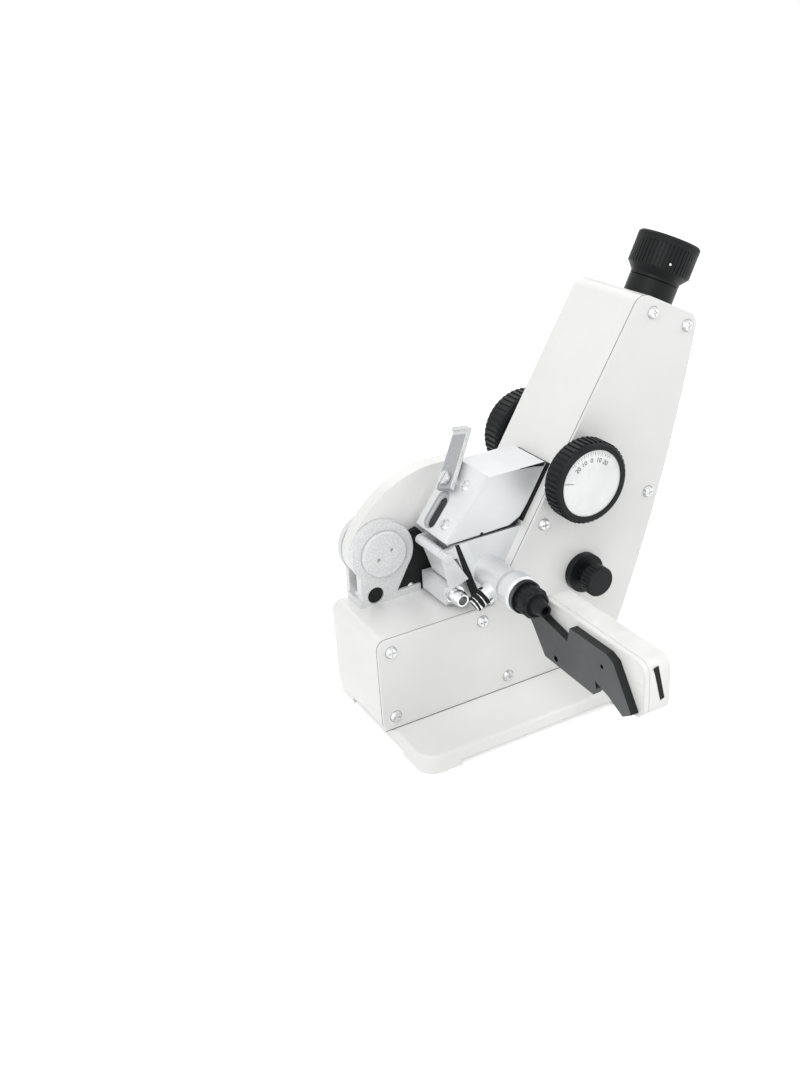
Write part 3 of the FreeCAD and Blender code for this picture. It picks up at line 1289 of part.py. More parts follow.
def make_bracket():
    """The flat anodised plate that carries the thermometer: a round tab under the nut, a long middle
    with a notch below, and a nose that bends down at the outer end."""
    low, top = "bracket_low", "(bracket_low + 26)"
    far = "(socket_end + bracket_length)"
    tab = "(socket_end + bracket_tab)"
    step = f"({tab} + nut_length)"
    shelf = "(socket_z - nut_radius - running_clearance)"
    body = new_body("thermometer_bracket")
    drawing = new_sketch(body, "YZ_Plane", "bracket_x")
    draw_outline(drawing, [
        ("-socket_end", "socket_z - nut_radius / 2"), (f"-{tab}", "socket_z - nut_radius / 2"), (f"-{tab}", shelf),
        (f"-{step}", shelf), ("-(socket_end + 31)", f"{low} + 18"), ("-(socket_end + 33)", top),
        (f"-({far} - 18)", top),
        (f"-({far} - 13)", f"{top} - 2"), (f"-{far}", f"{low} + 4"), (f"-({far} - 6)", low),
        (f"-({far} - 16)", f"{low} + 5"), (f"-({far} - 26)", f"{low} + 8"), (f"-({far} - 25)", f"{low} + 4"),
        (f"-({far} - 27)", low), ("-(socket_end + 13)", f"{low} + 1"), ("-(socket_end + 3)", f"{low} + 14"),
        ("-socket_end", f"{low} + 17")])
    pad(body, drawing, "bracket_thickness")
    add_circles(body, [("socket_x", "socket_z")], "collar_radius - 1", tab, "bracket_tab")
    cut_circles(body, [("socket_x", "socket_z")], "probe_radius + fit_clearance", tab, "bracket_tab")
    hole = new_sketch(body, "YZ_Plane", "bracket_x")
    draw_circle(hole, "-(socket_end + 22)", f"{low} + 4", "screw_radius")
    draw_circle(hole, f"-({far} - 21)", f"{low} + 18", "screw_radius * 0.7")
    pocket(body, hole, "bracket_thickness", backwards=True)
    node(body, "thermometer_bracket")


def make_case():
    left = "(bracket_x + bracket_thickness)"

    def shell(name, start, thick):
        body = new_body(name)
        drawing = new_sketch(body, "YZ_Plane", start)
        draw_outline(drawing, [
            ("-(case_start + case_length)", "case_bottom"), ("-case_start", "case_bottom"),
            ("-case_start", "case_bottom + case_height"),
            ("-(case_start + case_length)", "case_bottom + case_height")])
        pad(body, drawing, thick)
        round_edges(body, "case_corner", lambda edge: runs_along(edge, Vector(1, 0, 0)))
        return body
    back = shell("case_back", left, "case_back_thickness")
    node(back, "case_back")
    front = shell("case_front", f"{left} + case_back_thickness", "case_depth - case_back_thickness")
    face = f"({left} + case_depth)"
    round_edges(front, "block_edge * 2", in_plane("X", face))
    keys = ["-(case_start + key_margin)", "-(case_start + key_margin + key_spacing)"]
    key_z = "(case_bottom + case_height / 2)"
    near_y = "(case_start + key_margin + key_spacing + display_margin)"
    low = "(case_bottom + (case_height - display_height) / 2)"

    def screen_outline(grow):
        left_y, right_y = f"-({near_y} + display_length + {grow})", f"-({near_y} - {grow})"
        bottom, top = f"{low} - {grow}", f"{low} + display_height + {grow}"
        return [(left_y, bottom), (right_y, bottom), (right_y, top), (left_y, top)]
    screen = new_sketch(front, "YZ_Plane", face)
    draw_outline(screen, screen_outline("fit_clearance"))
    pocket(front, screen, "display_thickness")
    wells = new_sketch(front, "YZ_Plane", face)
    for spot in keys:
        draw_circle(wells, spot, key_z, "key_radius + fit_clearance")
    pocket(front, wells, "key_height + key_travel")
    node(front, "case_front")
    window = new_body("display_window")
    drawing = new_sketch(window, "YZ_Plane", f"{face} - display_thickness")
    draw_outline(drawing, screen_outline("0"))
    pad(window, drawing, "display_thickness")
    node(window, "display_window")
    for name, spot in zip(("power_key", "hold_key"), keys):
        key = turned(name, disc_profile("key_radius", "0", "key_height"))
        place(key, (f"{face} - key_height + key_travel", spot, key_z), (0, 1, 0), 90)
        node(key, name)


make_foot()
make_housing()
make_cover()
make_eyepiece()
make_telescope()
make_saddle()
make_compensator()
make_dispersion()
make_index()
make_sector()
make_condenser()
make_lower_mount()
make_side_plate()
make_upper_mount()
make_front_plate()
make_front_screws()
make_shield()
make_shield_screw()
make_pedestal()
make_hub_pin()
make_arm()
make_mirror()
make_nipples()
make_socket()
make_bracket()
make_case()
doc.recompute()

for item in doc.Objects:
    if "Invalid" in item.State or "Error" in item.State:
        raise RuntimeError(item.Name + " failed: " + ", ".join(item.State))
for piece in NODES:
    if piece.Shape.isNull() or not piece.Shape.isValid():
        raise RuntimeError(piece.Label + " has no valid shape")

os.makedirs("parts", exist_ok=True)
for piece in NODES:
    piece.Shape.exportStep("parts/" + piece.Label + ".step")
print(len(NODES), "nodes")
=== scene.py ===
"""A bench refractometer with a hinged prism box, a leaning eyepiece column and a clip-on thermometer:
its finishes, its small details and the studio round it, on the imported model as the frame."""
import json
import math

import bpy
import numpy as np
from mathutils import Matrix, Vector


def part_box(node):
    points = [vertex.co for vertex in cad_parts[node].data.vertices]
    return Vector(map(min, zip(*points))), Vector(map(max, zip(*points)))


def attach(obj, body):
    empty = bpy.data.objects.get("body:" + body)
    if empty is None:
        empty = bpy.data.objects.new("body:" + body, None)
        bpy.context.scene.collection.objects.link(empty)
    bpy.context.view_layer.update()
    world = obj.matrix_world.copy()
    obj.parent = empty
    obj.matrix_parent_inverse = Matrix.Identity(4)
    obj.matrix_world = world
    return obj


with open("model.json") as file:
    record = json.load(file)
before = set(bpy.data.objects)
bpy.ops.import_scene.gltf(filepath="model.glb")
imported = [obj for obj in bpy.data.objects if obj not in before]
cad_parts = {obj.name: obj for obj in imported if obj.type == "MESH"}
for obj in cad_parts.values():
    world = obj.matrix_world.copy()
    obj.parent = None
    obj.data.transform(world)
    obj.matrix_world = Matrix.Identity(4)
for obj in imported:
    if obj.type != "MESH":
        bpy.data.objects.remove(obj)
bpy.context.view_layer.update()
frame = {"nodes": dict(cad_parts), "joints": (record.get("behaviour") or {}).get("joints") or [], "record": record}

NODES = frame["nodes"]
JOINTS = {joint["name"]: joint for joint in frame["joints"]}
SLOTS = {part["node"]: part["material_slot"] for part in frame["record"]["subparts"]}
MM = 0.001
TURN = 2 * math.pi


# Places that come from the frame
def joint_place(name):
    return np.array(JOINTS[name]["pos_m"], float)


def joint_axis(name):
    axis = np.array(JOINTS[name]["axis"], float)
    return axis / np.linalg.norm(axis)


def middle(node):
    low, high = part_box(node)
    return (np.array(low) + np.array(high)) / 2


def frame_on(axis, upright=(0, 0, 1)):
    """Three unit directions, of which the last is the axis and the second leans most to upright."""
    axis = np.array(axis, float)
    across = np.cross(np.array(upright, float), axis)
    across /= np.linalg.norm(across)
    return across, np.cross(axis, across), axis


# Meshes from arrays
def mesh_piece(name, points, faces, body, material, smooth=True):
    """A mesh object from its points and faces, riding on its body with its finish."""
    mesh = bpy.data.meshes.new(name)
    mesh.from_pydata(points.tolist(), [], faces)
    mesh.validate()
    mesh.materials.append(material)
    made = bpy.data.objects.new(name, mesh)
    bpy.context.scene.collection.objects.link(made)
    mesh.polygons.foreach_set("use_smooth", [smooth] * len(mesh.polygons))
    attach(made, body)
    return made


def grid_quads(rows, columns, closed_rows, closed_columns):
    """Faces of a grid of points whose rows and columns may each close on themselves."""
    row = np.arange(rows if closed_rows else rows - 1)
    column = np.arange(columns if closed_columns else columns - 1)
    first, second = np.meshgrid(row, column, indexing="ij")
    after, beside = (first + 1) % rows, (second + 1) % columns
    corners = [first * columns + second, first * columns + beside,
               after * columns + beside, after * columns + second]
    return np.stack([corner.ravel() for corner in corners], axis=1).tolist()


def turned_shape(centre, axis, profile, steps=96, ripple=None, closed=True):
    """A profile of (radius, height) turned about an axis: point = centre + height along the axis +
    radius times (cos t, sin t) across it. The ripple scales the radius with t."""
    across, up, along = frame_on(axis)
    turn = np.linspace(0, TURN, steps, endpoint=False)
    profile = np.array(profile, float)
    radius = profile[:, 0][:, None] * (np.ones(steps) if ripple is None else ripple(turn))[None, :]
    points = (centre + profile[:, 1][:, None, None] * along
              + radius[..., None] * (np.cos(turn)[None, :, None] * across + np.sin(turn)[None, :, None] * up))
    return points.reshape(-1, 3), grid_quads(len(profile), steps, closed, True)


def domed_shape(centre, axis, profile, steps=32):
    """A profile turned about an axis as above, whose first and last points lie on the axis, so that the
    surface ends in a pole there, with a fan of triangles round it."""
    points, faces = turned_shape(centre, axis, profile[1:-1], steps, None, False)
    axis = np.array(axis, float) / np.linalg.norm(axis)
    poles = np.array([centre + axis * profile[0][1], centre + axis * profile[-1][1]])
    first, last, count = 0, len(points) - steps, len(points)
    ring = np.arange(steps)
    after = (ring + 1) % steps
    faces += np.stack([first + after, first + ring, np.full(steps, count)], axis=1).tolist()
    faces += np.stack([last + ring, last + after, np.full(steps, count + 1)], axis=1).tolist()
    return np.concatenate([points, poles]), faces


def carried_shape(path, section, normals, closed=False):
    """A closed section of (out, along_y) carried along a path in X and Z: point = path + out times the
    path's normal + along_y in Y. An open path is closed by its first and its last section."""
    path, section, normals = np.array(path, float), np.array(section, float), np.array(normals, float)
    points = (path[:, None, :] + section[None, :, 0, None] * normals[:, None, :]
              + section[None, :, 1, None] * np.array([0.0, 1.0, 0.0]))
    rows, columns = len(path), len(section)
    faces = grid_quads(rows, columns, closed, True)
    if not closed:
        last = (rows - 1) * columns
        faces += [list(range(columns))[::-1], list(range(last, last + columns))]
    return points.reshape(-1, 3), faces


def plate_piece(name, outline, near, far, body, material):
    """A flat plate: an outline in X and Z (mm), closed at Y = near and at Y = far by the same outline."""
    outline = np.array(outline, float) * MM
    x, z = outline[:, 0], outline[:, 1]
    if np.sum(x * np.roll(z, -1) - np.roll(x, -1) * z) < 0:
        outline = outline[::-1]
    count = len(outline)
    front = np.insert(outline, 1, near * MM, axis=1)
    back = np.insert(outline, 1, far * MM, axis=1)
    ring = np.arange(count)
    after = (ring + 1) % count
    sides = np.stack([after, ring, count + ring, count + after], axis=1)
    faces = [ring.tolist(), (count + ring[::-1]).tolist()] + sides.tolist()
    return mesh_piece(name, np.concatenate([front, back]), faces, body, material, False)


def places_of(node):
    """All the points of a CAD node's mesh."""
    mesh = NODES[node].data
    points = np.empty(len(mesh.vertices) * 3)
    mesh.vertices.foreach_get("co", points)
    return points.reshape(-1, 3)


# Finishes
def tree_of(name, colour, roughness, metallic=0.0):
    made = bpy.data.materials.new(name)
    made.use_nodes = True
    tree = made.node_tree
    shader = tree.nodes["Principled BSDF"]
    shader.inputs["Base Color"].default_value = (*colour, 1)
    shader.inputs["Roughness"].default_value = roughness
    shader.inputs["Metallic"].default_value = metallic
    made.diffuse_color = (*colour, 1)
    return made, tree, shader


def noise_of(tree, scale, detail=3.0, roughness=0.55, stretch=(1, 1, 1)):
    """A noise field on Object coordinates, stretched along the axes."""
    coordinates = tree.nodes.new("ShaderNodeTexCoord")
    mapping = tree.nodes.new("ShaderNodeMapping")
    mapping.inputs["Scale"].default_value = stretch
    noise = tree.nodes.new("ShaderNodeTexNoise")
    noise.inputs["Scale"].default_value = scale
    noise.inputs["Detail"].default_value = detail
    noise.inputs["Roughness"].default_value = roughness
    tree.links.new(coordinates.outputs["Object"], mapping.inputs["Vector"])
    tree.links.new(mapping.outputs["Vector"], noise.inputs["Vector"])
    return noise.outputs["Fac"]


def cells_of(tree, scale):
    coordinates = tree.nodes.new("ShaderNodeTexCoord")
    cells = tree.nodes.new("ShaderNodeTexVoronoi")
    cells.feature = "SMOOTH_F1"
    cells.inputs["Scale"].default_value = scale
    cells.inputs["Smoothness"].default_value = 0.35
    tree.links.new(coordinates.outputs["Object"], cells.inputs["Vector"])
    return cells.outputs["Distance"]


def ranged(tree, source, low, high, start=0.3, stop=0.7):
    """The source carried from start to stop onto low to high."""
    made = tree.nodes.new("ShaderNodeMapRange")
    for name, number in (("From Min", start), ("From Max", stop), ("To Min", low), ("To Max", high)):
        made.inputs[name].default_value = number
    tree.links.new(source, made.inputs["Value"])
    return made.outputs["Result"]


def ramp_of(tree, source, low, high, start=0.35, stop=0.65):
    made = tree.nodes.new("ShaderNodeValToRGB")
    ramp = made.color_ramp
    ramp.elements[0].position, ramp.elements[1].position = start, stop
    ramp.elements[0].color, ramp.elements[1].color = (*low, 1), (*high, 1)
    tree.links.new(source, made.inputs["Fac"])
    return made.outputs["Color"]


def distance_along(tree, start, direction):
    """How far a point of the piece lies from start along a direction, in metres."""
    coordinates = tree.nodes.new("ShaderNodeTexCoord")
    shifted = tree.nodes.new("ShaderNodeVectorMath")
    shifted.operation = "SUBTRACT"
    shifted.inputs[1].default_value = tuple(start)
    made = tree.nodes.new("ShaderNodeVectorMath")
    made.operation = "DOT_PRODUCT"
    made.inputs[1].default_value = tuple(direction)
    tree.links.new(coordinates.outputs["Object"], shifted.inputs[0])
    tree.links.new(shifted.outputs["Vector"], made.inputs[0])
    return made.outputs["Value"]


def blended(tree, share, first, second):
    """Two colours or colour outputs mixed by a share from 0 to 1."""
    made = tree.nodes.new("ShaderNodeMix")
    made.data_type = "RGBA"
    tree.links.new(share, made.inputs["Factor"])
    for socket, colour in ((made.inputs[6], first), (made.inputs[7], second)):
        if isinstance(colour, tuple):
            socket.default_value = (*colour, 1)
        else:
            tree.links.new(colour, socket)
    return made.outputs[2]


def relief(tree, source, depth, below=None):
    made = tree.nodes.new("ShaderNodeBump")
    made.inputs["Distance"].default_value = depth
    made.inputs["Strength"].default_value = 1.0
    tree.links.new(source, made.inputs["Height"])
    if below is not None:
        tree.links.new(below, made.inputs["Normal"])
    return made.outputs["Normal"]


def soft_edges(tree, radius):
    made = tree.nodes.new("ShaderNodeBevel")
    made.samples = 6
    made.inputs["Radius"].default_value = radius
    return made.outputs["Normal"]


def scaled(colour, factor):
    return tuple(min(1.0, part * factor) for part in colour)


def enamel(name, colour, edge=0.7 * MM):
    """Sprayed enamel: a low orange peel, a faint unevenness of tone and a soft gloss."""
    made, tree, shader = tree_of(name, colour, 0.34)
    tone = noise_of(tree, 14.0, 4.0)
    tree.links.new(ramp_of(tree, tone, scaled(colour, 0.965), scaled(colour, 1.02)), shader.inputs["Base Color"])
    tree.links.new(ranged(tree, noise_of(tree, 60.0, 3.0), 0.28, 0.42), shader.inputs["Roughness"])
    peel = relief(tree, noise_of(tree, 520.0, 2.0), 0.035 * MM, soft_edges(tree, edge))
    tree.links.new(peel, shader.inputs["Normal"])
    shader.inputs["Coat Weight"].default_value = 0.25
    shader.inputs["Coat Roughness"].default_value = 0.15
    return made


def hammered(name, colour):
    """Hammer-finish paint: small raised cells, lighter on their crowns, in a glossy grey."""
    made, tree, shader = tree_of(name, colour, 0.34, 0.2)
    cells = cells_of(tree, 1150.0)
    tree.links.new(ramp_of(tree, cells, scaled(colour, 1.05), scaled(colour, 0.86), 0.1, 0.6),
                   shader.inputs["Base Color"])
    tree.links.new(relief(tree, cells, -0.06 * MM, soft_edges(tree, 0.5 * MM)), shader.inputs["Normal"])
    return made


def blasted(name, colour, metallic=0.75, roughness=0.42, edge=0.35 * MM):
    """Fine-blasted and plated metal: a matte sparkle of grain with a trace of darker handling marks."""
    made, tree, shader = tree_of(name, colour, roughness, metallic)
    grain = noise_of(tree, 2600.0, 2.0, 0.6)
    tree.links.new(ramp_of(tree, noise_of(tree, 30.0, 4.0), scaled(colour, 0.94), scaled(colour, 1.03)),
                   shader.inputs["Base Color"])
    tree.links.new(ranged(tree, grain, roughness - 0.07, roughness + 0.1), shader.inputs["Roughness"])
    tree.links.new(relief(tree, grain, 0.03 * MM, soft_edges(tree, edge)), shader.inputs["Normal"])
    return made


def brushed(name, colour, roughness, stretch, metallic=1.0, edge=0.2 * MM):
    """Metal with fine lines from turning or drawing along one direction."""
    made, tree, shader = tree_of(name, colour, roughness, metallic)
    lines = noise_of(tree, 900.0, 3.0, 0.6, stretch)
    tree.links.new(ramp_of(tree, lines, scaled(colour, 0.95), scaled(colour, 1.03)), shader.inputs["Base Color"])
    tree.links.new(ranged(tree, lines, roughness * 0.85, roughness * 1.25), shader.inputs["Roughness"])
    tree.links.new(relief(tree, lines, 0.0012 * MM, soft_edges(tree, edge)), shader.inputs["Normal"])
    return made


def moulded(name, colour, roughness, grain=0.02 * MM, edge=0.4 * MM, coat=0.0):
    """Moulded plastic: a fine spark-eroded grain, uneven gloss and a slight shift of tone."""
    made, tree, shader = tree_of(name, colour, roughness)
    fine = noise_of(tree, 1500.0, 2.0)
    tree.links.new(ramp_of(tree, noise_of(tree, 45.0, 4.0), scaled(colour, 0.93), scaled(colour, 1.05)),
                   shader.inputs["Base Color"])
    tree.links.new(ranged(tree, noise_of(tree, 110.0, 3.0), roughness - 0.06, roughness + 0.08),
                   shader.inputs["Roughness"])
    tree.links.new(relief(tree, fine, grain, soft_edges(tree, edge)), shader.inputs["Normal"])
    shader.inputs["Coat Weight"].default_value = coat
    shader.inputs["Specular IOR Level"].default_value = 0.5 if colour[0] > 0.1 else 0.2
    return made


def anodised_plate(name, face, edge):
    """Dark anodised sheet: the rolled faces are greyer than the sawn black edges, and both are grained."""
    made, tree, shader = tree_of(name, face, 0.44, 0.35)
    coordinates = tree.nodes.new("ShaderNodeTexCoord")
    parts = tree.nodes.new("ShaderNodeSeparateXYZ")
    size = tree.nodes.new("ShaderNodeMath")
    size.operation = "ABSOLUTE"
    tree.links.new(coordinates.outputs["Normal"], parts.inputs["Vector"])
    tree.links.new(parts.outputs["X"], size.inputs[0])
    share = ranged(tree, size.outputs["Value"], 0.0, 1.0, 0.5, 0.8)
    tone = ramp_of(tree, noise_of(tree, 38.0, 4.0), scaled(face, 0.86), scaled(face, 1.16))
    tree.links.new(blended(tree, share, edge, tone), shader.inputs["Base Color"])
    tree.links.new(ranged(tree, noise_of(tree, 1800.0, 2.0), 0.36, 0.54), shader.inputs["Roughness"])
    tree.links.new(relief(tree, noise_of(tree, 2600.0, 2.0), 0.02 * MM, soft_edges(tree, 0.25 * MM)),
                   shader.inputs["Normal"])
    return made


def worn_bar(name, colour):
    """The light shield: mid-grey blasted sheet, bare along its cut sides and scratched bright at its lip."""
    pivot = joint_place("light_shield_pivot")
    normal = joint_axis("light_shield_pivot")
    points = places_of("light_shield_bar")
    flat = points - pivot
    flat -= np.outer(flat @ normal, normal)
    far = flat[np.argmax(np.linalg.norm(flat, axis=1))]
    corner = flat[np.linalg.norm(flat, axis=1) > np.linalg.norm(far) - 4 * MM].mean(axis=0)
    length = corner / np.linalg.norm(corner)
    across = np.cross(normal, length)
    made, tree, shader = tree_of(name, colour, 0.48, 0.35)
    along = distance_along(tree, pivot, length)
    sideways = tree.nodes.new("ShaderNodeMath")
    sideways.operation = "ABSOLUTE"
    tree.links.new(distance_along(tree, pivot, across), sideways.inputs[0])
    reach, half = (flat @ length).max(), np.abs(flat @ across).max()
    scratches = noise_of(tree, 700.0, 3.0, 0.7, (1, 4, 1))
    grain = ramp_of(tree, noise_of(tree, 1500.0, 3.0, 0.7), scaled(colour, 0.88), scaled(colour, 1.12))
    bare = ramp_of(tree, scratches, (0.60, 0.61, 0.61), (0.84, 0.85, 0.85))
    lip = ranged(tree, along, 0.0, 1.0, reach - 4.2 * MM, reach - 3.4 * MM)
    side = ranged(tree, sideways.outputs["Value"], 0.0, 1.0, half - 0.35 * MM, half - 0.1 * MM)
    edged = blended(tree, side, grain, bare)
    tree.links.new(blended(tree, lip, edged, bare), shader.inputs["Base Color"])
    tree.links.new(ranged(tree, scratches, 0.3, 0.55), shader.inputs["Roughness"])
    tree.links.new(relief(tree, scratches, 0.03 * MM, soft_edges(tree, 0.5 * MM)), shader.inputs["Normal"])
    return made


def clear_glass(name, colour, transmission, roughness=0.02):
    """Polished glass with a faint bloom of its coating."""
    made, tree, shader = tree_of(name, colour, roughness)
    tree.links.new(ramp_of(tree, noise_of(tree, 120.0, 2.0), scaled(colour, 0.97), scaled(colour, 1.0)),
                   shader.inputs["Base Color"])
    tree.links.new(ranged(tree, noise_of(tree, 300.0, 3.0), roughness, roughness + 0.03),
                   shader.inputs["Roughness"])
    shader.inputs["Transmission Weight"].default_value = transmission
    shader.inputs["IOR"].default_value = 1.52
    return made


def liquid_display(name):
    """A switched-off liquid-crystal panel: a grey-green field with a fine vertical weave under gloss."""
    colour = (0.30, 0.335, 0.27)
    made, tree, shader = tree_of(name, colour, 0.12)
    lines = noise_of(tree, 700.0, 1.0, 0.5, (1, 8, 0.3))
    tree.links.new(ramp_of(tree, lines, scaled(colour, 0.94), scaled(colour, 1.05)), shader.inputs["Base Color"])
    shader.inputs["Coat Weight"].default_value = 0.6
    shader.inputs["Coat Roughness"].default_value = 0.04
    return made


def silvered(name):
    """A front-silvered mirror with faint dust."""
    made, tree, shader = tree_of(name, (0.86, 0.87, 0.88), 0.03, 1.0)
    tree.links.new(ranged(tree, noise_of(tree, 420.0, 5.0, 0.7), 0.02, 0.12, 0.45, 0.8),
                   shader.inputs["Roughness"])
    return made


WHITE_PAINT = enamel("white_enamel", (0.86, 0.86, 0.85))
COVER_PAINT = enamel("cover_enamel", (0.815, 0.815, 0.81), 0.4 * MM)
HAMMERED = hammered("hammered_grey", (0.83, 0.84, 0.845))
BLASTED = blasted("blasted_nickel", (0.79, 0.802, 0.81), 0.4)
FRONT_SATIN = blasted("front_satin", (0.83, 0.845, 0.855), 0.3, 0.4)
SHIELD_GREY = worn_bar("shield_grey", (0.42, 0.43, 0.45))
STEEL = brushed("turned_steel", (0.76, 0.765, 0.77), 0.24, (1, 1, 6))
CHROME = brushed("bright_chrome", (0.86, 0.865, 0.87), 0.13, (1, 5, 1))
BRASS = brushed("cut_brass", (0.66, 0.48, 0.20), 0.3, (5, 1, 1))
ANODISED = moulded("black_anodising", (0.0095, 0.0105, 0.011), 0.4, 0.012 * MM, 0.25 * MM)
KNOB_BLACK = moulded("knob_black", (0.0085, 0.0095, 0.0105), 0.42, 0.018 * MM, 0.3 * MM)
RUBBER = moulded("eyecup_rubber", (0.011, 0.012, 0.0125), 0.58, 0.04 * MM, 0.5 * MM)
PLATE_GREY = anodised_plate("anodised_sheet", (0.088, 0.092, 0.094), (0.012, 0.013, 0.014))
CASE_WHITE = moulded("case_white", (0.87, 0.87, 0.855), 0.33, 0.015 * MM, 1.2 * MM, 0.1)
KEY_GREY = moulded("key_grey", (0.30, 0.31, 0.32), 0.5, 0.02 * MM, 0.4 * MM)
DIAL_WHITE = moulded("dial_white", (0.86, 0.87, 0.87), 0.3, 0.004 * MM, 0.15 * MM, 0.3)
DIAL_INK = moulded("dial_ink", (0.06, 0.06, 0.07), 0.5, 0.004 * MM, 0.02 * MM)
LENS = clear_glass("coated_lens", (0.93, 0.95, 1.0), 1.0)
DARK_GLASS = clear_glass("window_dark", (0.012, 0.013, 0.015), 0.15, 0.05)
DISPLAY = liquid_display("display_panel")
MIRROR = silvered("silvered_glass")
# Dark rubber that also carries painted marks: the shade of the gaps by the column and along the lid's top edge, and the
# dark reflection bands on the hose nipple.
SEAL_AND_PAINTED_DARK = moulded("seal_rubber_and_painted_dark", (0.012, 0.012, 0.013), 0.6, 0.05 * MM, 0.4 * MM)
# The black of painted shade: the gap behind the hub, the pedestal's opening, the band by the lower block and the rings
# round the cover screws. It is also the real dark window in the case's end.
SHADE_BLACK = moulded("shade_black", (0.016, 0.017, 0.017), 0.7, 0.03 * MM, 0.3 * MM)
JOINT_GREY = moulded("joint_grey", (0.10, 0.10, 0.10), 0.7, 0.005 * MM, 0.02 * MM)
# A darker blasted grey: painted shade of the sunk track round the window.
RECESS_SHADE_GREY = blasted("recess_shade_grey", (0.46, 0.47, 0.48), 0.3, 0.5, 0.2 * MM)

FINISH_OF_SLOT = {
    "cast_paint": WHITE_PAINT, "cover_paint": COVER_PAINT, "bright_steel": STEEL, "black_anodised": ANODISED,
    "black_rubber": RUBBER, "optical_glass": LENS, "dark_glass": DARK_GLASS, "display_glass": DISPLAY,
    "cast_aluminium": HAMMERED, "satin_aluminium": BLASTED, "grey_plate": SHIELD_GREY, "brass": BRASS,
    "black_plastic": KNOB_BLACK, "white_dial": DIAL_WHITE, "mirror": MIRROR, "chrome": CHROME,
    "black_plate": PLATE_GREY, "white_plastic": CASE_WHITE, "grey_plastic": KEY_GREY}
FINISH_OF_NODE = {"front_plate": FRONT_SATIN, "mirror_holder": FRONT_SATIN, "mirror_pin": BLASTED}

for node_name, node_object in NODES.items():
    finish = FINISH_OF_NODE.get(node_name, FINISH_OF_SLOT[SLOTS[node_name]])
    node_object.data.materials.clear()
    node_object.data.materials.append(finish)


# Dispersion dial: a short arc of plain numerals with ticks, and a longer zero line to the left
def dial_marks():
    """Each mark is a thin bar at angle t, from an inner to an outer radius, with t measured from the top."""
    centre = joint_place("dispersion_turn")
    low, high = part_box("dispersion_dial")
    rim = (high[0] - low[0]) / 2
    start = np.array([centre[0], low[1] - 0.03 * MM, centre[2]])
    turn = np.radians(np.concatenate([np.arange(-44, 45, 4), [-78]]))
    count = len(turn)
    whole = np.arange(count) % 2 == 1
    outer = np.full(count, rim - 0.9 * MM)
    inner = outer - np.where(whole, 1.8, 1.2) * MM
    outer[-1], inner[-1] = rim - 1.0 * MM, rim - 6.0 * MM
    half = np.where(whole, 0.10, 0.07) * MM
    half[-1] = 0.16 * MM
    out = np.stack([np.sin(turn), np.zeros(count), np.cos(turn)], axis=1)
    side = np.stack([np.cos(turn), np.zeros(count), -np.sin(turn)], axis=1)
    corners = [start + out * radius[:, None] + side * (sign * half)[:, None]
               for radius, sign in ((inner, -1), (inner, 1), (outer, 1), (outer, -1))]
    front = np.stack(corners, axis=1).reshape(-1, 3)
    back = front + np.array([0, 0.05 * MM, 0])
    base, depth = np.arange(count)[:, None] * 4, count * 4
    faces = [base + [0, 1, 2, 3], depth + base + [3, 2, 1, 0]]
    faces += [np.concatenate([base + second, base + first, depth + base + first, depth + base + second], axis=1)
              for first, second in ((0, 1), (1, 2), (2, 3), (3, 0))]
    mesh_piece("dial_ticks", np.concatenate([front, back]), np.concatenate(faces).tolist(),
               "dispersion_drive", DIAL_INK, False)
    for index, number in enumerate((20, 10, 0, 10, 20)):
        angle = math.radians((index - 2) * 21)
        label = bpy.data.curves.new("dial_number", "FONT")
        label.body = str(number)
        label.size = 3.2 * MM
        label.extrude = 0.03 * MM
        label.align_x = "CENTER"
        label.align_y = "CENTER"
        shown = bpy.data.objects.new("dial_number_text", label)
        bpy.context.scene.collection.objects.link(shown)
        bpy.context.view_layer.update()
        mesh = bpy.data.meshes.new_from_object(shown)
        bpy.data.objects.remove(shown)
        spot = start + np.array([math.sin(angle), 0, math.cos(angle)]) * (rim - 5.2 * MM)
        upright = Matrix.Rotation(angle, 4, "Y") @ Matrix.Rotation(math.pi / 2, 4, "X")
        mesh.transform(Matrix.Translation(Vector(spot)) @ upright)
        mesh.materials.clear()
        mesh.materials.append(DIAL_INK)
        made = bpy.data.objects.new("dial_number_%d" % index, mesh)
        bpy.context.scene.collection.objects.link(made)
        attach(made, "dispersion_drive")


# Seal between the upper prism block and the column, partly painted shade of the gap there, and the gasket lines and
# painted gap shade on the prism box
LEAN = math.radians(32)
COLUMN_FOOT = (-5.0, 61.0)


def column_line(z):
    """X of the column's front at a height, both in mm: a line that leans 32 degrees from its foot."""
    return COLUMN_FOOT[0] + (z - COLUMN_FOOT[1]) * math.tan(LEAN)


def column_seal():
    """A dark strip, partly a rubber seal and partly painted shade of the gap between block and column: its rounded
    section, a half circle flattened in Y, is carried up the leaning front.
    """
    low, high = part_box("upper_prism_mount")
    bottom, top = 98.2, high[2] / MM - 2.0
    heights = np.linspace(top, bottom, 24)
    path = np.stack([column_line(heights), np.zeros(24), heights], axis=1) * MM
    out = np.array([-math.cos(LEAN), 0, math.sin(LEAN)])
    near, far = low[1] + 0.3 * MM, high[1] - 0.3 * MM
    turn = np.linspace(0, math.pi, 11)
    rounded = np.stack([(0.4 + 1.9 * np.sin(turn) ** 0.45) * MM,
                        (near + far) / 2 + (near - far) / 2 * np.cos(turn)], axis=1)
    section = np.concatenate([[[0.05 * MM, near]], rounded, [[0.05 * MM, far]]])
    steps = np.arange(24)
    taper = np.clip(np.minimum(steps, 23 - steps) / 1.5 + 0.3, 0.3, 1.0)
    points, faces = carried_shape(path, section, out[None, :] * taper[:, None])
    mesh_piece("column_seal", points, faces, "stand", SEAL_AND_PAINTED_DARK)


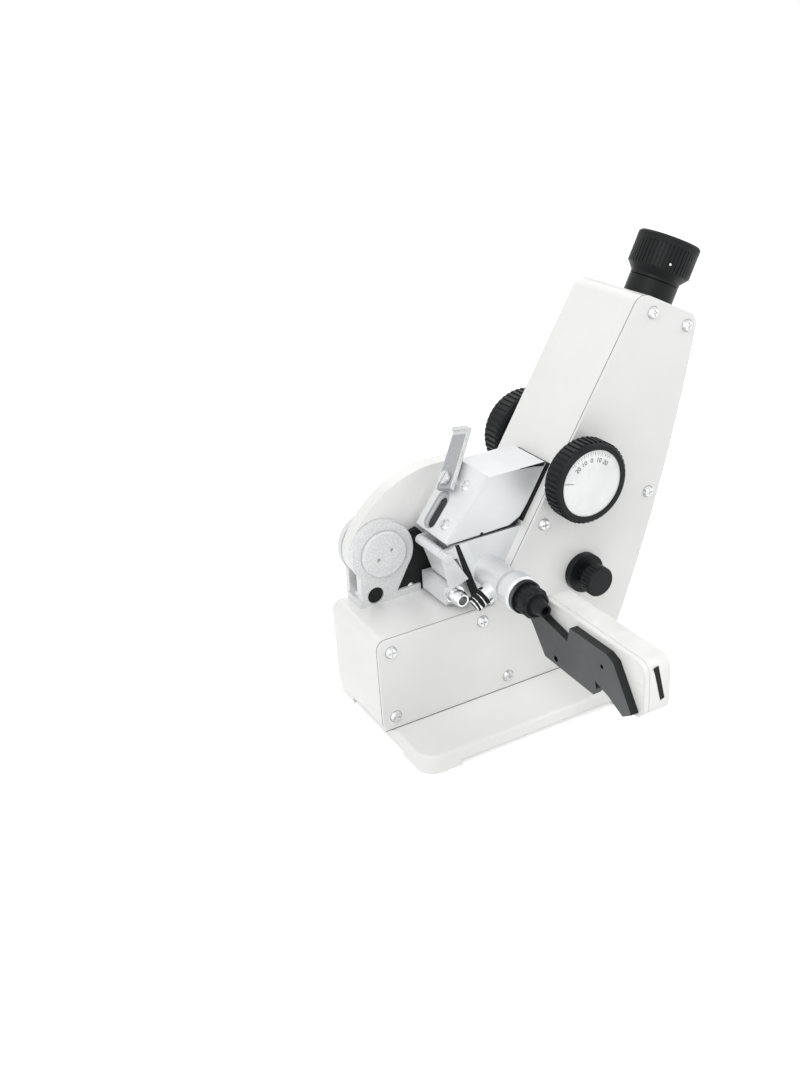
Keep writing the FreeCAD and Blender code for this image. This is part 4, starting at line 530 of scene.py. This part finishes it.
def box_gaskets():
    """The thin dark and bright strips along the prism box's joints, each a flat plate of its own outline, and the stop
    pin between the blocks, a low dome turned about Y. The dark strip along the lid's top edge and the dark band by the
    lower block's left edge are painted shade of the gaps there."""
    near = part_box("upper_prism_mount")[0][1] / MM
    plate_piece("lid_gasket", [(-25.3, 97.43), (13.5, 97.43), (16.1, 101.6), (14.9, 101.0), (9.8, 98.45),
                               (-4.8, 98.05), (-25.3, 97.72)], near - 0.22, near + 0.2,
                "prism_lid", SEAL_AND_PAINTED_DARK)
    # A black strip of painted shade: the shadow gap along the top edge of the lid's near face.
    plate_piece("lid_top_gap_shade", [(17.0, 126.97), (31.9, 126.97), (30.6, 124.9), (25.0, 126.1), (17.0, 126.75)],
                near - 0.2, near + 0.2, "prism_lid", SEAL_AND_PAINTED_DARK)
    pin = [(0.0, -0.4), (0.9, -0.4), (0.9, 0.05), (0.55, 0.45), (0.0, 0.55)]
    points, faces = domed_shape(np.array([-6.2, near, 98.25]) * MM, (0, -1, 0), np.array(pin) * MM)
    mesh_piece("lid_stop_pin", points, faces, "prism_lid", SEAL_AND_PAINTED_DARK)
    # A dark band of painted shade: the shadowed gap by the lower block's left edge.
    plate_piece("lower_gap_shade", [(-21.6, 96.3), (-19.5, 96.3), (-8.8, 65.4), (-13.6, 65.4)], near - 0.06, near + 0.3,
                "stand", SHADE_BLACK)
    plate_piece("lower_flange", [(-19.4, 96.2), (-14.6, 96.2), (-3.9, 65.4), (-8.7, 65.4)], near - 0.5,
                near + 0.2, "stand", FRONT_SATIN)


def hinge_shade():
    """Painted shade behind the hub: a flat dark plate set in the gap between the pedestal and the lower prism block,
    where that space lies in shadow.
    """
    plate_piece("hinge_gap_shade", [(-42.0, 61.05), (-33.4, 78.0), (-30.4, 84.0), (-29.6, 88.5), (-30.2, 94.4),
                              (-26.1, 95.6), (-13.7, 80.0), (-9.5, 66.0), (-9.5, 61.05)], 18.5, 21.6,
                "stand", SHADE_BLACK)


def pedestal_shade():
    """Painted shade in the pedestal's round opening: a dark low dome turned about Y inside it, so that the hole reads
    as a shaded recess.
    """
    hub, base = joint_place("prism_lid_hinge"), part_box("hinge_pedestal")[0]
    spot = np.array([hub[0] - 5.95 * MM, base[1] + 1.2 * MM, base[2] + 5.0 * MM])
    profile = np.array([(0.0, -1.0), (4.52, -1.0), (4.52, 0.0), (0.0, 0.0)]) * MM
    points, faces = domed_shape(spot, (0, -1, 0), profile, 48)
    mesh_piece("pedestal_shade", points, faces, "stand", SHADE_BLACK, False)


def window_recess():
    """Painted shade of the sunk track round the window: a flat grey band on the plate's face, the slot's own outline,
    widened and shifted to the far side, where the track's shaded wall shows. A stadium is a half circle at each end of
    a straight run; the surface joins the two by straight lines."""
    normal = joint_axis("light_shield_pivot")
    up = np.array([normal[2], 0.0, -normal[0]])
    low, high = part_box("front_plate")
    glass = middle("window_glass")
    face = places_of("front_plate") @ normal
    centre = glass + normal * (face.max() - glass @ normal + 0.03 * MM)
    turn = np.concatenate([np.linspace(0.0, math.pi, 25), np.linspace(math.pi, TURN, 25)])
    end = np.where(np.arange(50) < 25, 1.0, -1.0)

    def stadium(half_width, half_length, shift_across, shift_up, lift):
        sideways = half_width * np.cos(turn) + shift_across
        upward = half_width * np.sin(turn) + end * (half_length - half_width) + shift_up
        return (centre + sideways[:, None] * MM * np.array([0, 1.0, 0]) + upward[:, None] * MM * up
                + lift * MM * normal)

    rows = [stadium(3.35, 8.6, 0, 0, -0.3), stadium(3.35, 8.6, 0, 0, 0.12),
            stadium(4.9, 10.4, 1.4, 0.9, 0.12), stadium(5.0, 10.5, 1.4, 0.9, -0.3)]
    mesh_piece("window_recess", np.concatenate(rows), grid_quads(4, 50, True, True), "prism_lid",
               RECESS_SHADE_GREY)


def cover_joint():
    """The dark joint round the side cover: a small square section carried along the cover's outline, whose
    points are sorted by their angle round a spot inside it."""
    points = places_of("side_cover")
    seam = points[:, 1].max()
    rim = points[np.abs(points[:, 1] - seam + 1.0 * MM) < 0.01 * MM]
    rim = np.unique(np.round(rim[:, [0, 2]], 6), axis=0)
    heading = np.arctan2(rim[:, 1] - 0.045, rim[:, 0] - 0.020)
    rim = rim[np.argsort(heading)]
    ahead = np.roll(rim, -1, axis=0) - np.roll(rim, 1, axis=0)
    ahead /= np.linalg.norm(ahead, axis=1)[:, None]
    normals = np.stack([ahead[:, 1], np.zeros(len(rim)), -ahead[:, 0]], axis=1)
    path = np.stack([rim[:, 0], np.full(len(rim), seam), rim[:, 1]], axis=1)
    section = np.array([[-0.4, -0.16], [0.05, -0.16], [0.05, 0.16], [-0.4, 0.16]]) * MM
    spots, faces = carried_shape(path, section, normals, True)
    mesh_piece("cover_joint", spots, faces, "stand", JOINT_GREY, False)
    plate_piece("cover_foot_joint", [(-70.2, 10.02), (65.5, 10.02), (65.5, 10.28), (-70.2, 10.28)],
                -18.12, -17.9, "stand", JOINT_GREY)


def screw_heads(face):
    """The middle and the radius of each cover screw's head: the points before the cover's face, in groups
    that lie within a head's width of one another."""
    points = places_of("cover_screws")
    points = points[points[:, 1] < face - 0.1 * MM]
    heads = []
    while len(points):
        near = np.linalg.norm(points - points[0], axis=1) < 8 * MM
        low, high = points[near].min(axis=0), points[near].max(axis=0)
        heads.append(((low + high) / 2, (high[0] - low[0]) / 2))
        points = points[~near]
    return heads


def screw_seats():
    """A dark ring round each cover screw, painted shade of the recess round its head: a rectangle of radius and height
    turned about its axis.
    """
    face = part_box("side_cover")[0][1]
    rings = []
    for spot, radius in screw_heads(face):
        profile = np.array([[-0.1, -0.2], [0.5, -0.2], [0.5, 0.05], [-0.1, 0.05]]) * MM + [radius, 0]
        rings.append(turned_shape(np.array([spot[0], face, spot[2]]), (0, -1, 0), profile, 40))
    points = np.concatenate([ring[0] for ring in rings])
    faces = np.concatenate([np.array(ring[1]) + len(ring[0]) * index for index, ring in enumerate(rings)])
    mesh_piece("screw_seats", points, faces.tolist(), "stand", SHADE_BLACK)


def case_slot():
    """The narrow dark strip in the thermometer case's end: a flat plate of four corners."""
    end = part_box("case_back")[0][1] / MM
    plate_piece("case_end_window", [(7.9, 75.0), (10.4, 75.7), (14.2, 58.5), (12.0, 57.7)], end - 0.15, end + 0.3,
                "stand", SHADE_BLACK)


# Painted reflection on the hose nipple on the socket: dark rings in the rubber finish sit in its grooves and stand in
# for the dark bands of reflection along the chrome
def nipple_rings():
    """Each ring is a torus: a circle of the ring's thickness carried round the nipple's axis."""
    centre = middle("socket_hose_nipple")
    axis = centre - middle("thermometer_socket")
    axis[1] = 0
    axis /= np.linalg.norm(axis)
    turn = np.linspace(0, TURN, 16, endpoint=False)
    for index, (shift, half) in enumerate(((-1.6, 1.5), (1.9, 1.2), (4.2, 0.6))):
        profile = np.stack([(3.7 + 0.55 * np.cos(turn)) * MM, (shift + half * np.sin(turn)) * MM], axis=1)
        points, faces = turned_shape(centre, axis, profile, 64)
        mesh_piece("nipple_ring_%d" % index, points, faces, "stand", SEAL_AND_PAINTED_DARK)


# Lobed grip moulded over the probe nut
def nut_grip():
    """A sleeve whose radius swells with the turn: radius times 1 + 0.055 cos(9 t)."""
    low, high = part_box("probe_nut")
    centre = np.array([(low[0] + high[0]) / 2, high[1], (low[2] + high[2]) / 2])
    bore, rim, length = 6.6 * MM, 7.25 * MM, 8.6 * MM
    profile = [(bore, 0.2 * MM), (rim - 0.5 * MM, 0.2 * MM), (rim, 0.8 * MM), (rim, length - 1.2 * MM),
               (rim - 0.9 * MM, length - 0.2 * MM), (bore, length - 0.2 * MM)]
    points, faces = turned_shape(centre, (0, -1, 0), profile, 144, lambda t: 1 + 0.055 * np.cos(9 * t))
    mesh_piece("nut_grip", points, faces, "stand", KNOB_BLACK)


# Small dot that marks the eyepiece ring's zero
def ring_mark():
    """A low dome on the ring's side: a profile of radius and height turned about the way it faces."""
    eye, axis = joint_place("eyepiece_focus"), joint_axis("eyepiece_focus")
    toward = np.array([-0.45, -0.85, 0.0])
    toward -= axis * toward.dot(axis)
    toward /= np.linalg.norm(toward)
    spot = eye + axis * 18 * MM + toward * 15.95 * MM
    profile = np.array([(0.0, -0.3), (0.8, -0.3), (0.8, 0.1), (0.48, 0.38), (0.0, 0.45)]) * MM
    points, faces = domed_shape(spot, toward, profile, 24)
    mesh_piece("ring_mark", points, faces, "focus_ring", DIAL_WHITE)


dial_marks()
column_seal()
box_gaskets()
hinge_shade()
pedestal_shade()
window_recess()
cover_joint()
screw_seats()
case_slot()
nipple_rings()
nut_grip()
ring_mark()


# Studio: a pale floor, soft lamps, and the camera where the photograph was taken from
SKY_LIGHT = 0.65
FLOOR_GLOW = 0.44


def background_rays(tree):
    """1 for the rays that show the background: the camera's, those in metal and those through glass."""
    path = tree.nodes.new("ShaderNodeLightPath")
    shown = path.outputs["Is Camera Ray"]
    for name in ("Is Glossy Ray", "Is Transmission Ray"):
        either = tree.nodes.new("ShaderNodeMath")
        either.operation = "MAXIMUM"
        tree.links.new(shown, either.inputs[0])
        tree.links.new(path.outputs[name], either.inputs[1])
        shown = either.outputs["Value"]
    return shown


def studio():
    floor_mesh = bpy.data.meshes.new("studio_floor")
    wide = 60.0
    floor_mesh.from_pydata([(-wide, -wide, 0), (wide, -wide, 0), (wide, wide, 0), (-wide, wide, 0)], [], [(0, 1, 2, 3)])
    floor = bpy.data.objects.new("studio_floor", floor_mesh)
    bpy.context.scene.collection.objects.link(floor)
    made, tree, shader = tree_of("pale_floor", (0.86, 0.86, 0.86), 0.7)
    shader.inputs["Emission Color"].default_value = (1, 1, 1, 1)
    tree.links.new(ranged(tree, background_rays(tree), 0.0, FLOOR_GLOW, 0.0, 1.0),
                   shader.inputs["Emission Strength"])
    floor_mesh.materials.append(made)

    world = bpy.data.worlds.new("studio_world")
    bpy.context.scene.world = world
    world.use_nodes = True
    tree = world.node_tree
    sky = tree.nodes["Background"]
    sky.inputs["Color"].default_value = (1, 1, 1, 1)
    tree.links.new(ranged(tree, background_rays(tree), SKY_LIGHT, 1.0, 0.0, 1.0), sky.inputs["Strength"])

    lamps = [("key", (-0.72, -0.72, 1.1), 0.9, 6.9), ("side", (1.1, -0.6, 0.9), 0.8, 4.2),
             ("left", (-1.15, 0.15, 0.55), 0.8, 0.8), ("back", (0.3, 1.2, 1.1), 1.0, 3.0)]
    aim = Vector((0.03, 0.0, 0.09))
    for name, spot, size, power in lamps:
        light = bpy.data.lights.new(name + "_lamp", "AREA")
        light.shape = "SQUARE"
        light.size = size
        light.energy = power
        lamp = bpy.data.objects.new(name + "_lamp", light)
        lamp.location = spot
        lamp.rotation_euler = (aim - Vector(spot)).to_track_quat("-Z", "Y").to_euler()
        bpy.context.scene.collection.objects.link(lamp)


def camera():
    """The lens and place that were worked out from the photograph."""
    lens = bpy.data.cameras.new("photo_camera")
    lens.sensor_fit = "VERTICAL"
    lens.sensor_height = 36.0
    lens.lens = 39.69
    lens.clip_start = 0.01
    made = bpy.data.objects.new("photo_camera", lens)
    right, down, ahead = ((0.87776, -0.47454, -0.06590), (-0.25894, -0.35415, -0.89863),
                          (0.40310, 0.80584, -0.43374))
    rows = [[right[i], -down[i], -ahead[i], place] for i, place in enumerate((-0.27398, -0.45696, 0.35138))]
    made.matrix_world = Matrix(rows + [[0, 0, 0, 1]])
    bpy.context.scene.collection.objects.link(made)
    bpy.context.scene.camera = made


studio()
camera()
bpy.context.scene.view_settings.view_transform = "Standard"
